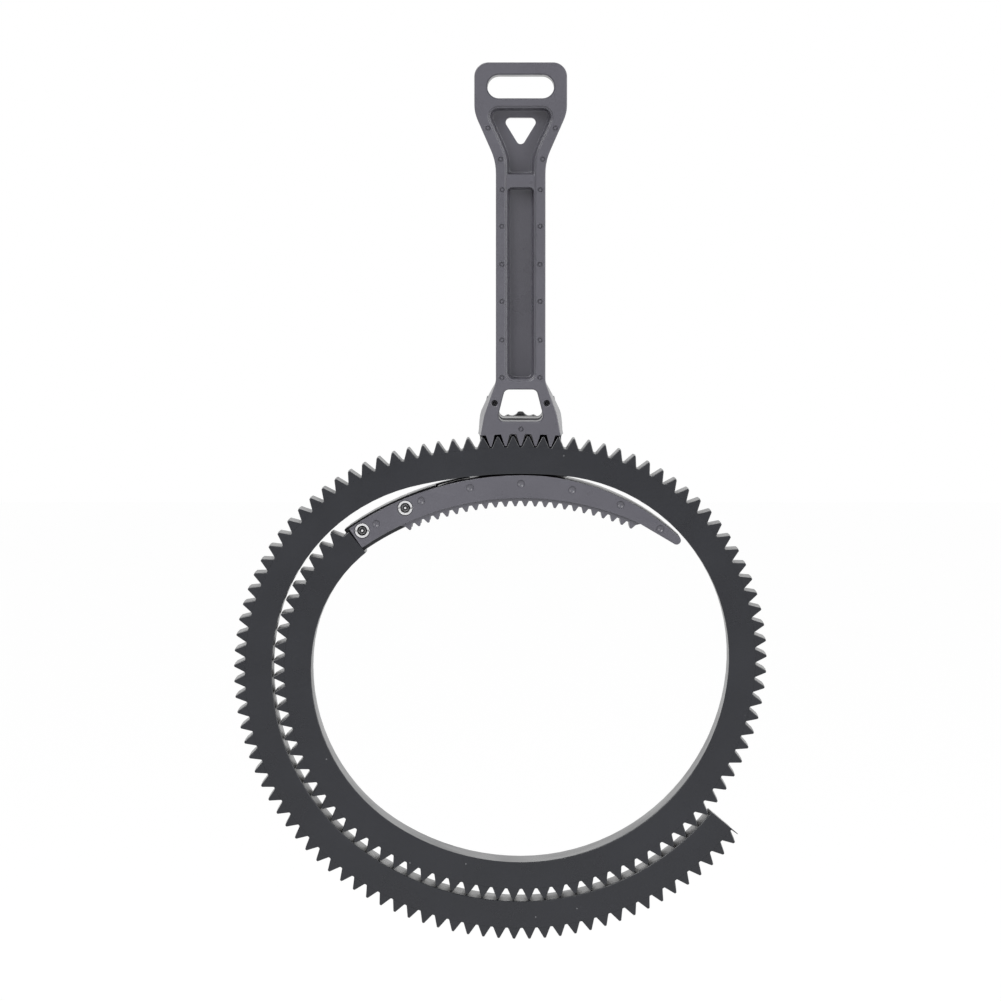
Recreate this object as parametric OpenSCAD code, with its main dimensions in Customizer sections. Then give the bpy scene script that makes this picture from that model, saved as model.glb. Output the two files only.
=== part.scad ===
// Flexible focus ring for a camera lens: a toothed belt wound one and a half turns round the
// barrel, a curved saddle that grips the barrel, and a lever whose toothed foot locks the belt.
// X runs to the right, Z up along the lever, and the front of the ring faces -Y. The origin is
// on the axis of the loop's true round stretch, half way across the belt's width.

/* [Belt] */
// Module of the gear teeth on the outside of the belt
gear_module = 0.8; // [0.76:0.02:0.84]
// Width of the belt along the lens axis
belt_w = 10; // [8:0.5:12]
// Thickness of the belt under its teeth
belt_body_t = 4.7; // [4.3:0.1:5.1]
// Height of the belt's teeth
tooth_h = 1.9; // [1.7:0.05:2]
// Height of the belt's unstretched pitch line over its inner face
pitch_line_h = 3.8; // [3.6:0.05:4]
// Half width of a valley between two belt teeth
valley_half_w = 0.2; // [0.15:0.01:0.24]
// Half width of the tip of a belt tooth
tip_half_w = 0.17; // [0.12:0.01:0.2]
// Whole teeth between the foot of the lever and the free end
outer_teeth = 71; // [60:1:74]
// Gap that the outer turn leaves over the teeth of the inner turn
turn_gap = 0.15; // [0.1:0.05:0.4]

/* [Loop] */
// Inner radius of the loop's true round stretch at the bottom right
loop_r = 35.6; // [34:0.2:38]
// Inner radius of the flattened stretch under the lever's foot
top_r = 80; // [74:1:90]
// How much tighter than the round stretch the loop bends at its right shoulder
right_tighter = 4.4; // [4.2:0.1:4.6]
// How much tighter than the round stretch the inner turn bends at the left
left_tighter = 3.9; // [3.6:0.1:4.2]
// How much wider than the round stretch the loop eases out at the bottom left
ease_wider = 3.8; // [3.5:0.1:4.1]
// How much tighter than the round stretch the outer turn bends over the saddle's left end
join_tighter = 4.1; // [3.9:0.1:4.3]

/* [Saddle] */
// Radius of the grip tips that press on the lens barrel
grip_r = 47; // [45:0.5:49]
// Depth of the grip teeth
grip_tooth_h = 0.9; // [0.7:0.05:1]
// Number of grip teeth
grip_teeth = 24; // [18:1:26]
// Height of the front flange's edge over the grip valleys
flange_step = 0.5; // [0.3:0.05:0.7]
// How far the grip teeth stand back from the front flange
grip_set_back = 0.5; // [0.3:0.1:1]
// How much wider than the belt's right shoulder the saddle's right arm bends
right_arm_wider = 8.2; // [8:0.05:8.4]
// Radius of the rounded end of the right arm
arm_end_r = 0.75; // [0.7:0.05:0.9]
// Gap between the belt and the saddle's back
saddle_gap = 0.15; // [0.1:0.05:0.3]
// How much thicker the belt's end tab is than the belt under its teeth
tab_extra_t = 0.5; // [0.3:0.1:0.6]
// Thickness of the front cheek over the belt's end tab
cheek_t = 2.6; // [2.3:0.1:3]
// Thickness of the upright wall behind the belt
wall_t = 2.5; // [2:0.1:3.5]

/* [Lever] */
// Length of the lever from the roots of its foot teeth to its top
lever_len = 63.7; // [58:0.5:75]
// Width of the lever's head
head_w = 15.8; // [14.5:0.1:18]
// Width of the lever's shaft
shaft_w = 8.46; // [8:0.1:9]
// Width of the foot at its teeth
foot_w = 13.7; // [13.4:0.1:14.4]
// Number of teeth under the foot
foot_teeth = 5; // [3:2:5]
// How far the rear flange stands out beyond each side of the foot
flange_out = 0.5; // [0.3:0.05:0.7]
// Thickness of the tongue behind the belt
tongue_t = 3; // [2.8:0.1:4]
// Depth of the recesses in the front and the back of the lever
recess_depth = 3; // [1.5:0.25:3.5]
// Width of the rims beside the recesses
rim_w = 1.85; // [1.6:0.05:2.1]
// Height of the slot through the head
slot_h = 4.3; // [4.2:0.1:4.8]
// Length of the slot through the head
slot_len = 11.7; // [9:0.1:12]
// How far the foot lifts to free the belt
lift = 2.2; // [2.1:0.1:2.4]

/* [Fasteners] */
// Thread diameter of the two screws through the belt's end tab
tab_screw_d = 1.6; // [1.4:0.1:1.7]
// Head diameter of the tab screws
tab_head_d = 2.6; // [2.4:0.05:2.7]
// Head height of the tab screws
tab_head_h = 1.2; // [1:0.1:1.5]
// Width across the flats of the tab screws' nuts
tab_nut_af = 3.2; // [3:0.1:3.4]
// Thickness of the tab screws' nuts
tab_nut_t = 1.3; // [1.1:0.1:1.6]
// Thread diameter of the clamp stud
clamp_d = 2.5; // [2.2:0.1:2.6]
// Width across the flats of the clamp nut
clamp_nut_af = 5; // [4.6:0.1:5.2]
// Thickness of the clamp nut
clamp_nut_t = 2; // [1.6:0.1:2.2]
// Diameter of the clamp knob
knob_d = 10.4; // [9:0.2:11]
// Length of the clamp knob's fluted grip
knob_len = 5; // [4:0.5:8]
// Number of flutes round the clamp knob
knob_flutes = 12; // [8:1:14]
// Diameter of the clamp washer
washer_d = 7; // [6:0.2:8]
// Thickness of the clamp washer
washer_t = 0.5; // [0.3:0.1:0.8]
// Diameter of the two guide pins in the foot
pin_d = 1; // [0.9:0.05:1.05]
// Distance of each guide pin from the lever's centre line
pin_x = 4.45; // [4.4:0.01:4.5]
// Radial clearance of sliding and threaded pieces
fit_gap = 0.05; // [0.03:0.01:0.08]

/* [Hidden] */

belt_color = [0.2, 0.2, 0.21];
plastic_color = [0.4, 0.4, 0.43];
steel_color = [0.75, 0.75, 0.77];
knob_color = [0.16, 0.16, 0.17];

deg = 180 / PI;
pitch = PI * gear_module;
belt_t = belt_body_t + tooth_h;
turn_step = belt_t + turn_gap;

// ---- Levels along the lens axis, from the front to the back ----
front_y = -belt_w / 2;
back_y = belt_w / 2;
side_gap = 0.2;
tongue_front = back_y + side_gap;
tongue_back = tongue_front + tongue_t;
wall_front = tongue_back + fit_gap;
wall_back = wall_front + wall_t;
washer_back = wall_back + washer_t;
knob_hub_t = 0.7;
knob_front = washer_back + knob_hub_t;
knob_back = knob_front + knob_len;
grip_front = front_y + grip_set_back;
tab_front = front_y + cheek_t + 0.1;

// ---- The belt's path: arcs that run smoothly into each other ----
function unit(a) = [cos(a), sin(a)];
function heading(v) = (atan2(v[1], v[0]) + 360) % 360;

// Centre of the next arc of a path that leaves its last arc at normal angle a
function next_centre(c, r, next_r, a) = c + (r - next_r) * unit(a);

// Where two circles cross, on the left (side 1) or the right (side -1) of the line between them
function crossing(c1, r1, c2, r2, side) =
    let (d = c2 - c1, l = norm(d), n = d / l, t = (l * l + r1 * r1 - r2 * r2) / (2 * l),
         h = sqrt(r1 * r1 - t * t))
    c1 + t * n + side * h * [-n[1], n[0]];

// Points along an arc from angle a0 to a1
function arc(c, r, a0, a1, step = 3) =
    let (n = max(1, ceil(abs(a1 - a0) / step)))
    [for (i = [0:n]) c + r * unit(a0 + (a1 - a0) * i / n)];

lap_a = 128.6;            // where the full belt section stops short of the saddle
left_a = 238;             // where the left arc eases into the bottom one
ease_a = 270;             // where the bottom arc ends and the true round stretch starts
right_a = -6.7;           // where the right shoulder starts

ease_r = loop_r + ease_wider;
left_r = loop_r - left_tighter;
right_r = loop_r - right_tighter;
join_r = loop_r - join_tighter;
tab_r = grip_r + 0.4;
grip_x = 0.27;            // the grip's centre lies this far right of the lever's centre line
tab_reach = 13.46;        // where the end tab stops, left of the grip's centre
tab_a = 90 + asin(tab_reach / tab_r);

loop_c = [0, 0];
ease_c = next_centre(loop_c, loop_r, ease_r, ease_a);
left_c = next_centre(ease_c, ease_r, left_r, left_a);
right_c = next_centre(loop_c, loop_r, right_r, right_a);
// The flat stretch has its crest over x = 0, under the lever
top_a = acos(right_c[0] / (top_r - right_r));
top_c = next_centre(right_c, right_r, top_r, top_a);
join_c = crossing(top_c, top_r - join_r, left_c, left_r + turn_step - join_r, 1);
join_a = heading(join_c - top_c);
// Both turns leave the left arc at the same angle, and the inner one bends tighter
bend_a = heading(join_c - left_c);
entry_r = join_r - turn_step - 0.15;
entry_c = next_centre(left_c, left_r, entry_r, bend_a);
// The tab's arc touches the last bend, with its centre under the saddle's crest
tab_c = let (l = tab_r - entry_r, x = grip_x - entry_c[0]) [grip_x, entry_c[1] - sqrt(l * l - x * x)];
crest_z = top_c[1] + top_r;

// Each arc: centre, radius of the belt's inner face, normal angles at its start and end
path = [
    [entry_c, entry_r, lap_a, bend_a],
    [left_c, left_r, bend_a, left_a],
    [ease_c, ease_r, left_a, ease_a],
    [loop_c, loop_r, ease_a, right_a + 360],
    [right_c, right_r, right_a + 360, top_a + 360],
    [top_c, top_r, top_a + 360, join_a + 360],
    [join_c, join_r, join_a + 360, bend_a + 360],
    [left_c, left_r + turn_step, bend_a + 360, left_a + 360],
    [ease_c, ease_r + turn_step, left_a + 360, ease_a + 360],
    [loop_c, loop_r + turn_step, ease_a + 360, 760],
];
top_arc = 5;

// Length of the pitch line along one arc, and up to the start of an arc
function arc_len(p) = (p[1] + pitch_line_h) * (p[3] - p[2]) / deg;
function len_to(i) = i == 0 ? 0 : len_to(i - 1) + arc_len(path[i - 1]);
starts = [for (i = [0:len(path) - 1]) len_to(i)];

// The arc that holds the pitch line's station s
function arc_at(s, i = 0) = i == len(path) - 1 || s < starts[i + 1] ? i : arc_at(s, i + 1);
// The path's normal angle at station s, and the point at height h over the inner face
function angle_at(s, i) = path[i][2] + (s - starts[i]) / (path[i][1] + pitch_line_h) * deg;
function belt_point(s, h) =
    let (i = arc_at(s)) path[i][0] + (path[i][1] + h) * unit(angle_at(s, i));

crest_s = starts[top_arc] + (top_r + pitch_line_h) * (450 - path[top_arc][2]) / deg;
inner_valleys = floor(crest_s / pitch);
end_cut = 0.1;            // where the free end cuts its last tooth, as a share of the pitch
end_s = crest_s + (outer_teeth + end_cut) * pitch;

// One belt tooth from valley to valley: distance along the belt and height over the roots
round_off = 0.09;
flank_w = pitch / 2 - valley_half_w - tip_half_w;
function flank_h(x) = tooth_h * (x - valley_half_w) / flank_w;
tooth_profile = [
    [valley_half_w - round_off, 0],
    [valley_half_w + round_off, flank_h(valley_half_w + round_off)],
    [pitch / 2 - tip_half_w - round_off, flank_h(pitch / 2 - tip_half_w - round_off)],
    [pitch / 2 - tip_half_w + round_off, tooth_h],
    [pitch / 2 + tip_half_w - round_off, tooth_h],
    [pitch / 2 + tip_half_w + round_off, flank_h(pitch / 2 - tip_half_w - round_off)],
    [pitch - valley_half_w - round_off, flank_h(valley_half_w + round_off)],
    [pitch - valley_half_w + round_off, 0],
];

// Drops each point of a closed outline that repeats the one before it
function no_repeats(pts) = let (n = len(pts))
    [for (i = [0:n - 1]) if (norm(pts[i] - pts[(i + n - 1) % n]) > 0.001) pts[i]];

// ---- 2D outlines lie in X and Z; slab() gives them their depth along Y ----
module outline(pts) {
    polygon(no_repeats(pts));
}

module slab(y0, y1) {
    translate([0, y1, 0]) rotate([90, 0, 0]) linear_extrude(y1 - y0) children();
}

// A round bar along Y with its axis at p
module bar(p, r, y0, y1) {
    translate([p[0], y1, p[1]]) rotate([90, 0, 0]) cylinder(r = r, h = y1 - y0, $fn = 48);
}

// A hexagonal bar along Y, flats towards +X and -X
module hex_bar(p, af, y0, y1, turn = 0) {
    translate([p[0], y1, p[1]]) rotate([90, 0, 0]) rotate(30 + turn)
        cylinder(d = af / cos(30), h = y1 - y0, $fn = 6);
}

// An upright slot along Y that a pin of radius r travels by d
module travel_slot(p, r, d, y0, y1) {
    bar(p, r, y0, y1);
    bar([p[0], p[1] + d], r, y0, y1);
    translate([p[0] - r, y0, p[1]]) cube([2 * r, y1 - y0, d]);
}

// Fillet of radius q[2] at corner q between the neighbours p and s
function fillet(p, q, s) =
    let (o = [q[0], q[1]], r = q[2])
    r <= 0 ? [o] :
    let (a = ([p[0], p[1]] - o) / norm([p[0], p[1]] - o),
         b = ([s[0], s[1]] - o) / norm([s[0], s[1]] - o),
         half = acos(max(-1, min(1, a * b))) / 2,
         c = o + (a + b) / norm(a + b) * r / sin(half),
         a0 = heading(o + a * r / tan(half) - c), a1 = heading(o + b * r / tan(half) - c),
         sweep = (a1 - a0 + 540) % 360 - 180)
    arc(c, r, a0, a0 + sweep, 12);

// Outline whose corners are [x, z, fillet radius]
function filleted(pts) =
    let (n = len(pts))
    [for (i = [0:n - 1]) each fillet(pts[(i + n - 1) % n], pts[i], pts[(i + 1) % n])];

// The right half of a symmetric outline, from bottom to top, completed with its mirror image
function mirrored(half) =
    concat(half, [for (i = [len(half) - 1:-1:0]) [-half[i][0], half[i][1], half[i][2]]]);

// ---- Saddle ----
// The cheeks' left end stops just short of the belt's full section
saddle_left_a = heading(entry_c + (entry_r + 1.1) * unit(lap_a - 0.15) - tab_c);
valley_r = grip_r + grip_tooth_h;
step_r = valley_r + flange_step;
grip_left = 19.48;        // how far the grip teeth reach to the left and right of their centre
grip_right = 18.87;
grip_first_a = 90 + asin(grip_left / valley_r);
grip_last_a = 90 - asin(grip_right / valley_r);
grip_pitch_a = (grip_first_a - grip_last_a) / (grip_teeth - 1);
plain_a = grip_last_a - 1.5;
tooth_foot_a = 0.72;      // half widths of a grip tooth, as angles
tooth_tip_a = 0.2;
arm_end_a = 47;           // where the right arm ends
saddle_top = crest_z - saddle_gap;
// Where the saddle's back passes from its left bend into its right arm
back_top = [0.3, saddle_top];
saddle_r = norm(back_top - tab_c);
tab_top_r = tab_r + belt_body_t + tab_extra_t;
right_arm_r = right_r + right_arm_wider;
arm_c = back_top - [0, right_arm_r];
arm_end_c = arm_c + (right_arm_r - arm_end_r) * unit(arm_end_a);
plain_start = tab_c + step_r * unit(plain_a);

// Everything but the grip edge: back of the saddle, rounded arm end, start of the plain edge
saddle_back = concat(
    arc(tab_c, saddle_r, saddle_left_a, heading(back_top - tab_c)),
    arc(arm_c, right_arm_r, 90, arm_end_a),
    arc(arm_end_c, arm_end_r, arm_end_a, heading(arm_end_c - plain_start) - 450, 15),
    [plain_start]);
left_edge = arc(tab_c, step_r, grip_first_a + 1.5, saddle_left_a);
grip_edge = [for (i = [grip_teeth - 1:-1:0]) let (a = grip_first_a - i * grip_pitch_a)
    each [tab_c + valley_r * unit(a - tooth_foot_a), tab_c + grip_r * unit(a - tooth_tip_a),
          tab_c + grip_r * unit(a + tooth_tip_a), tab_c + valley_r * unit(a + tooth_foot_a)]];

// Screws through the belt's end tab
tab_screw_r = saddle_r - tab_head_d / 2 - 0.2;
screw_in = 1.69;                           // from the cheek's left end to the lower screw
screw_apart = 8.34;                        // between the two screws
lower_screw = tab_c + tab_screw_r * unit(saddle_left_a - screw_in / tab_screw_r * deg);
upper_screw = tab_c + tab_screw_r * unit(saddle_left_a - (screw_in + screw_apart) / tab_screw_r * deg);
tab_nut_front = wall_front - tab_nut_t;
tab_head_back = front_y + 0.1 + tab_head_h;

// ---- Lever ----
foot_z = crest_z + belt_t + 0.15;          // roots of the foot teeth at the centre line
foot_root_r = foot_z - top_c[1];
foot_tip_r = foot_root_r - tooth_h;
lever_top = foot_z + lever_len;
pin_z = foot_z + 5.42;
left_pin = [-pin_x, pin_z];
right_pin = [pin_x, pin_z];
clamp_at = [0, crest_z + 5];
tongue_bottom = crest_z + 0.5;
neck_z = foot_z + 9;                       // where the foot runs into the shaft

function foot_corner(x) = top_c[1] + sqrt(foot_root_r * foot_root_r - x * x);
foot_pitch_a = pitch / (top_r + pitch_line_h) * deg;
foot_tooth_foot_a = pitch * 0.32 / foot_root_r * deg;
foot_tooth_tip_a = 0.1 / foot_root_r * deg;
half_foot = foot_w / 2;
half_shaft = shaft_w / 2;
half_head = head_w / 2;

foot_tooth_edge = [for (i = [-(foot_teeth - 1) / 2:(foot_teeth - 1) / 2])
    let (a = 90 - i * foot_pitch_a)
    each [top_c + foot_root_r * unit(a + foot_tooth_foot_a),
          top_c + foot_tip_r * unit(a + foot_tooth_tip_a),
          top_c + foot_tip_r * unit(a - foot_tooth_tip_a),
          top_c + foot_root_r * unit(a - foot_tooth_foot_a)]];

// Outline of the lever without its teeth, from the foot's right corner round to its left one
lever_side = [
    [half_foot, foot_corner(half_foot), 0], [half_foot - 0.55, foot_z + 3.1, 8],
    [half_shaft, neck_z, 4], [half_shaft, lever_top - 16.8, 10],
    [half_head, lever_top - 8.2, 6], [half_head, lever_top, 2.4]];

function foot_window(drop, rise) = mirrored([
    [4 - drop, foot_z + 2.3 + rise, 1], [2.65 - drop, foot_z + 7.65, 1]]);

// The tongue hides behind the belt's teeth and bulges out beside the foot
tongue_side = [
    [half_foot + 0.15, tongue_bottom, 1.5], [half_foot + 0.15, foot_corner(half_foot) + 0.1, 0],
    [half_foot + flange_out, foot_corner(half_foot) + 0.1, 0],
    [half_foot + flange_out - 0.35, foot_z + 4.4, 8], [half_shaft, neck_z, 2],
    [half_shaft, neck_z + 2.5, 0]];

// ---- Upright wall of the saddle, forked round the lever's window ----
wall_base = saddle_top - 3.4;
wall_half = 9;                             // half width of the wall at its base
crotch_z = foot_z + 2.7;
wing_top = pin_z + lift - 0.15;
wall_side = [
    [wall_half, wall_base, 0], [half_foot + 0.05, crest_z + 2, 4], [half_foot + 0.05, foot_z + 2, 5],
    [pin_x + 1.05, wing_top, 0.4], [pin_x - 1.2, wing_top, 0.5], [pin_x - 0.6, crotch_z, 0.6]];

module gear_belt() {
    stations = [for (k = [-inner_valleys:outer_teeth]) each
        [for (p = tooth_profile) [crest_s + k * pitch + p[0], belt_body_t + p[1]]]];
    kept = [for (q = stations) if (q[0] > 0.1 && q[0] < end_s - 0.05) q];
    outside = [for (q = kept) belt_point(q[0], q[1])];
    end_h = belt_body_t + flank_h(end_cut * pitch);
    end_arc = arc_at(end_s);
    inside = [for (i = [end_arc:-1:0]) each
        arc(path[i][0], path[i][1], i == end_arc ? angle_at(end_s, i) : path[i][3], path[i][2])];
    color(belt_color) difference() {
        union() {
            slab(front_y, back_y) outline(concat(
                [belt_point(0, belt_body_t)], outside, [belt_point(end_s, end_h)], inside));
            slab(tab_front, back_y) outline(concat(
                arc(tab_c, tab_r, saddle_left_a + 1, tab_a + 6.5),
                [tab_c + (tab_r + 0.7) * unit(tab_a)],
                arc(tab_c, tab_top_r, tab_a, saddle_left_a + 1)));
        }
        for (p = [lower_screw, upper_screw])
            bar(p, tab_screw_d / 2 + fit_gap, tab_front - 1, back_y + 1);
    }
}

module lens_saddle() {
    color(plastic_color) difference() {
        union() {
            slab(front_y, grip_front) outline(concat(saddle_back,
                arc(tab_c, step_r, plain_a, grip_first_a + 1.5), left_edge));
            slab(grip_front, wall_front) outline(concat(saddle_back, grip_edge, left_edge));
            // The rear cheek is as high as the belt's tab
            slab(tongue_front, wall_front) outline(concat(
                arc(tab_c, tab_top_r, saddle_left_a, tab_a - 6.5),
                arc(tab_c, step_r, tab_a - 6.5, saddle_left_a)));
            slab(wall_front - 1, wall_back) outline([
                [-wall_half, wall_base], [wall_half, wall_base],
                [wall_half, wall_base + 1], [-wall_half, wall_base + 1]]);
            slab(wall_front, wall_back) outline(filleted(mirrored(wall_side)));
        }
        slab(tab_front - 0.1, tongue_front) outline(concat(
            arc(tab_c, grip_r - 2, saddle_left_a + 3, tab_a - 0.4),
            arc(tab_c, saddle_r + 2, tab_a - 0.4, saddle_left_a + 3)));
        for (p = [lower_screw, upper_screw]) {
            bar(p, tab_screw_d / 2 + fit_gap, front_y - 1, wall_back + 1);
            bar(p, tab_head_d / 2 + fit_gap, front_y - 1, tab_head_back);
            hex_bar(p, tab_nut_af + 2 * fit_gap, tab_nut_front, wall_front + 1);
        }
        for (p = [left_pin, right_pin])
            travel_slot(p, pin_d / 2 + fit_gap, lift + 1, wall_front - 1, wall_back + 1);
        travel_slot(clamp_at, clamp_d / 2 + fit_gap, lift + 0.2, wall_front - 1, wall_back + 1);
    }
}

// Screw with a rounded head, a hexagonal socket and a thread rod through the rear cheek
module tab_screw(p) {
    color(steel_color) difference() {
        union() {
            translate([p[0], tab_head_back, p[1]]) rotate([90, 0, 0]) rotate_extrude($fn = 48)
                polygon([[0, 0], [tab_head_d / 2, 0], [tab_head_d / 2, tab_head_h - 0.3],
                         [tab_head_d / 2 - 0.3, tab_head_h], [0, tab_head_h]]);
            bar(p, tab_screw_d / 2, tab_head_back, wall_front - 0.1);
        }
        hex_bar(p, tab_head_d * 0.46, front_y - 1, tab_head_back - tab_head_h * 0.4);
    }
}

module tab_nut(p) {
    color(steel_color) difference() {
        hex_bar(p, tab_nut_af, tab_nut_front, wall_front);
        bar(p, tab_screw_d / 2 + 0.02, tab_nut_front - 1, wall_front + 1);
    }
}

module lever_handle() {
    recess_half = half_shaft - rim_w;
    head_recess = mirrored([
        [recess_half, lever_top - 19.1, 0.15], [recess_half, lever_top - 16.2, 8],
        [half_head - 2.45, lever_top - 7.5, 1]]);
    shaft_recess = mirrored([
        [recess_half, neck_z + 0.3, 1.2], [recess_half, lever_top - 21.2, 0.9]]);
    slot_reach = (slot_len - slot_h) / 2;
    slot_z = lever_top - 4.15;
    color(plastic_color) difference() {
        union() {
            slab(front_y, tongue_front) outline(
                concat(foot_tooth_edge, filleted(mirrored(lever_side))));
            slab(tongue_front, tongue_back) outline(filleted(mirrored(tongue_side)));
        }
        for (y = [[front_y - 1, front_y + recess_depth],
                  [tongue_front - recess_depth, tongue_back + 1]]) {
            slab(y[0], y[1]) outline(filleted(head_recess));
            slab(y[0], y[1]) outline(filleted(shaft_recess));
        }
        slab(front_y - 1, tongue_back + 1)
            outline(filleted([[0, lever_top - 14.7, 0.6], [3.25, lever_top - 9.3, 0.6],
                              [-3.25, lever_top - 9.3, 0.6]]));
        slab(front_y - 1, back_y) outline(filleted(foot_window(0, 0)));
        slab(back_y - 0.1, tongue_back + 1) outline(filleted(foot_window(0, 0.3)));
        for (x = [-slot_reach, slot_reach])
            bar([x, slot_z], slot_h / 2, front_y - 1, tongue_back + 1);
        translate([-slot_reach, front_y - 1, slot_z - slot_h / 2])
            cube([2 * slot_reach, belt_w + tongue_t + 3, slot_h]);
        for (p = [left_pin, right_pin]) bar(p, pin_d / 2 + 0.02, front_y - 1, tongue_back + 1);
        hex_bar(clamp_at, clamp_nut_af + 2 * fit_gap, tongue_front - 1,
                tongue_front + clamp_nut_t, 30);
        bar(clamp_at, clamp_d / 2 + 2 * fit_gap, tongue_front, tongue_back + 1);
    }
}

module guide_pin(p) {
    color(steel_color) bar(p, pin_d / 2, front_y + 0.1, wall_back - 0.2);
}

module clamp_nut() {
    color(steel_color) difference() {
        hex_bar(clamp_at, clamp_nut_af, tongue_front, tongue_front + clamp_nut_t, 30);
        bar(clamp_at, clamp_d / 2 + fit_gap, tongue_front - 1, tongue_back);
    }
}

module clamp_washer() {
    color(steel_color) difference() {
        bar(clamp_at, washer_d / 2, wall_back, washer_back);
        bar(clamp_at, clamp_d / 2 + fit_gap, wall_back - 1, washer_back + 1);
    }
}

module clamp_stud() {
    color(steel_color) bar(clamp_at, clamp_d / 2, tongue_front + 0.1, knob_back - 1.2);
}

module clamp_knob() {
    flute_r = knob_d * 0.11;
    color(knob_color) difference() {
        translate([clamp_at[0], washer_back, clamp_at[1]]) rotate([-90, 0, 0])
            rotate_extrude($fn = 72) outline([
                [0, 0], [washer_d / 2 - 0.4, 0], [washer_d / 2 - 0.4, knob_hub_t],
                [knob_d / 2 - 0.5, knob_hub_t], [knob_d / 2, knob_hub_t + 0.5],
                [knob_d / 2, knob_hub_t + knob_len - 0.7],
                [knob_d / 2 - 0.7, knob_hub_t + knob_len], [0, knob_hub_t + knob_len]]);
        bar(clamp_at, clamp_d / 2 + 0.02, washer_back - 1, knob_back - 1.2);
        for (i = [0:knob_flutes - 1])
            bar(clamp_at + (knob_d / 2 + flute_r * 0.55) * unit((i + 0.5) * 360 / knob_flutes),
                flute_r, knob_front - 0.01, knob_back + 1);
    }
}

gear_belt();
lens_saddle();
tab_screw(lower_screw);  // tab_screw_lower
tab_screw(upper_screw);  // tab_screw_upper
tab_nut(lower_screw);  // tab_nut_lower
tab_nut(upper_screw);  // tab_nut_upper
lever_handle();
guide_pin(left_pin);  // guide_pin_left
guide_pin(right_pin);  // guide_pin_right
clamp_nut();
clamp_washer();
clamp_stud();
clamp_knob();
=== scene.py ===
"""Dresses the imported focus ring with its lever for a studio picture.

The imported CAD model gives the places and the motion. This script models the belt, the saddle,
the lever, the screws, the pins and the knob in detail, gives every surface its finish, and sets
up the studio. Pieces are modelled in millimetres and brought to metres when they are finished.
"""
import logging
import math
from collections.abc import Callable, Iterator, Sequence
from contextlib import contextmanager
from dataclasses import dataclass, field
from enum import Enum
from functools import cached_property

import bmesh
import bpy
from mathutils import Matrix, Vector


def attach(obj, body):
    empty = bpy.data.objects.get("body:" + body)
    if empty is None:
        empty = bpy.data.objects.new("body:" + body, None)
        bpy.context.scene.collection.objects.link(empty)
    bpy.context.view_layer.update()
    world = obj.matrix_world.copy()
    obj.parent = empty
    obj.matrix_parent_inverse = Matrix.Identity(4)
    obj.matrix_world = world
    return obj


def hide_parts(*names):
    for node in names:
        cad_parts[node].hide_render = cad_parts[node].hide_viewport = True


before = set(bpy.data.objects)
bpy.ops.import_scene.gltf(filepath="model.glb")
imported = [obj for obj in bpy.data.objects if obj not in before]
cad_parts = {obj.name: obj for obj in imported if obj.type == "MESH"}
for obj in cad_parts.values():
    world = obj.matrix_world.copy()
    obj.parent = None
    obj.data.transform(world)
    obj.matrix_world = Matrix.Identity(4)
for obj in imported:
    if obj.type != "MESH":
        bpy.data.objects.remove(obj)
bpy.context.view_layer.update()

LOG = logging.getLogger("focus_ring")
MM = 0.001
FULL_TURN = 360.0
SHARP_ANGLE = 34.0
SMOOTH_ANGLE = 20.0
FLAT_ANGLE = 0.6
BEVEL_STEPS = 2
CUT_SLACK = 1e-4
MERGE_REACH = 0.002
SAME_PLACE = 0.001
LEAST_FILLET = 0.03
LEAST_STRETCH = 0.5

Point = tuple[float, float]
Corner = tuple[float, float, float]
Place = tuple[float, float, float]
Ring = list[Place]
Piece = bpy.types.Object
Test = Callable[[Vector], bool]
PartTest = Callable[..., bool]
Colour = tuple[float, float, float]


# ---------------------------------------------------------------- outlines in X and Z


def unit(angle: float) -> Point:
    """Returns the direction at an angle in degrees."""
    return math.cos(math.radians(angle)), math.sin(math.radians(angle))


def polar(centre: Point, radius: float, angle: float) -> Point:
    """Returns the point at a radius and an angle from a centre."""
    across, up = unit(angle)
    return centre[0] + radius * across, centre[1] + radius * up


def heading(start: Point, end: Point) -> float:
    """Returns the direction from one point to another, from 0 to 360 degrees."""
    return math.degrees(math.atan2(end[1] - start[1], end[0] - start[0])) % FULL_TURN


def arc(centre: Point, radius: float, start: float, end: float, step: float = 1.5) -> list[Point]:
    """Returns points along an arc.

    Args:
        centre: Centre of the arc.
        radius: Radius of the arc.
        start: First angle in degrees.
        end: Last angle in degrees.
        step: Largest angle between two points.

    Returns:
        The points, both ends included.
    """
    count = max(1, math.ceil(abs(end - start) / step))
    return [polar(centre, radius, start + (end - start) * i / count) for i in range(count + 1)]


def fillet(before: Corner, corner: Corner, after: Corner, step: float) -> list[Point]:
    """Rounds one corner of an outline.

    Args:
        before: The neighbour before the corner.
        corner: The corner, with its fillet radius last.
        after: The neighbour after the corner.
        step: Largest angle between two points.

    Returns:
        The points of the fillet, or the corner where its radius is 0.
    """
    if corner[2] <= 0:
        return [corner[:2]]
    place = Vector(corner[:2])
    a = (Vector(before[:2]) - place).normalized()
    b = (Vector(after[:2]) - place).normalized()
    half = math.acos(max(-1.0, min(1.0, a.dot(b)))) / 2
    centre = place + (a + b).normalized() * corner[2] / math.sin(half)
    reach = corner[2] / math.tan(half)
    start = heading(tuple(centre), tuple(place + a * reach))
    end = heading(tuple(centre), tuple(place + b * reach))
    sweep = (end - start + 1.5 * FULL_TURN) % FULL_TURN - FULL_TURN / 2
    return arc(tuple(centre), corner[2], start, start + sweep, step)


def filleted(corners: Sequence[Corner], step: float = 8.0) -> list[Point]:
    """Returns an outline whose corners are (x, z, fillet radius)."""
    count = len(corners)
    return [
        point
        for i in range(count)
        for point in fillet(corners[i - 1], corners[i], corners[(i + 1) % count], step)
    ]


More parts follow.
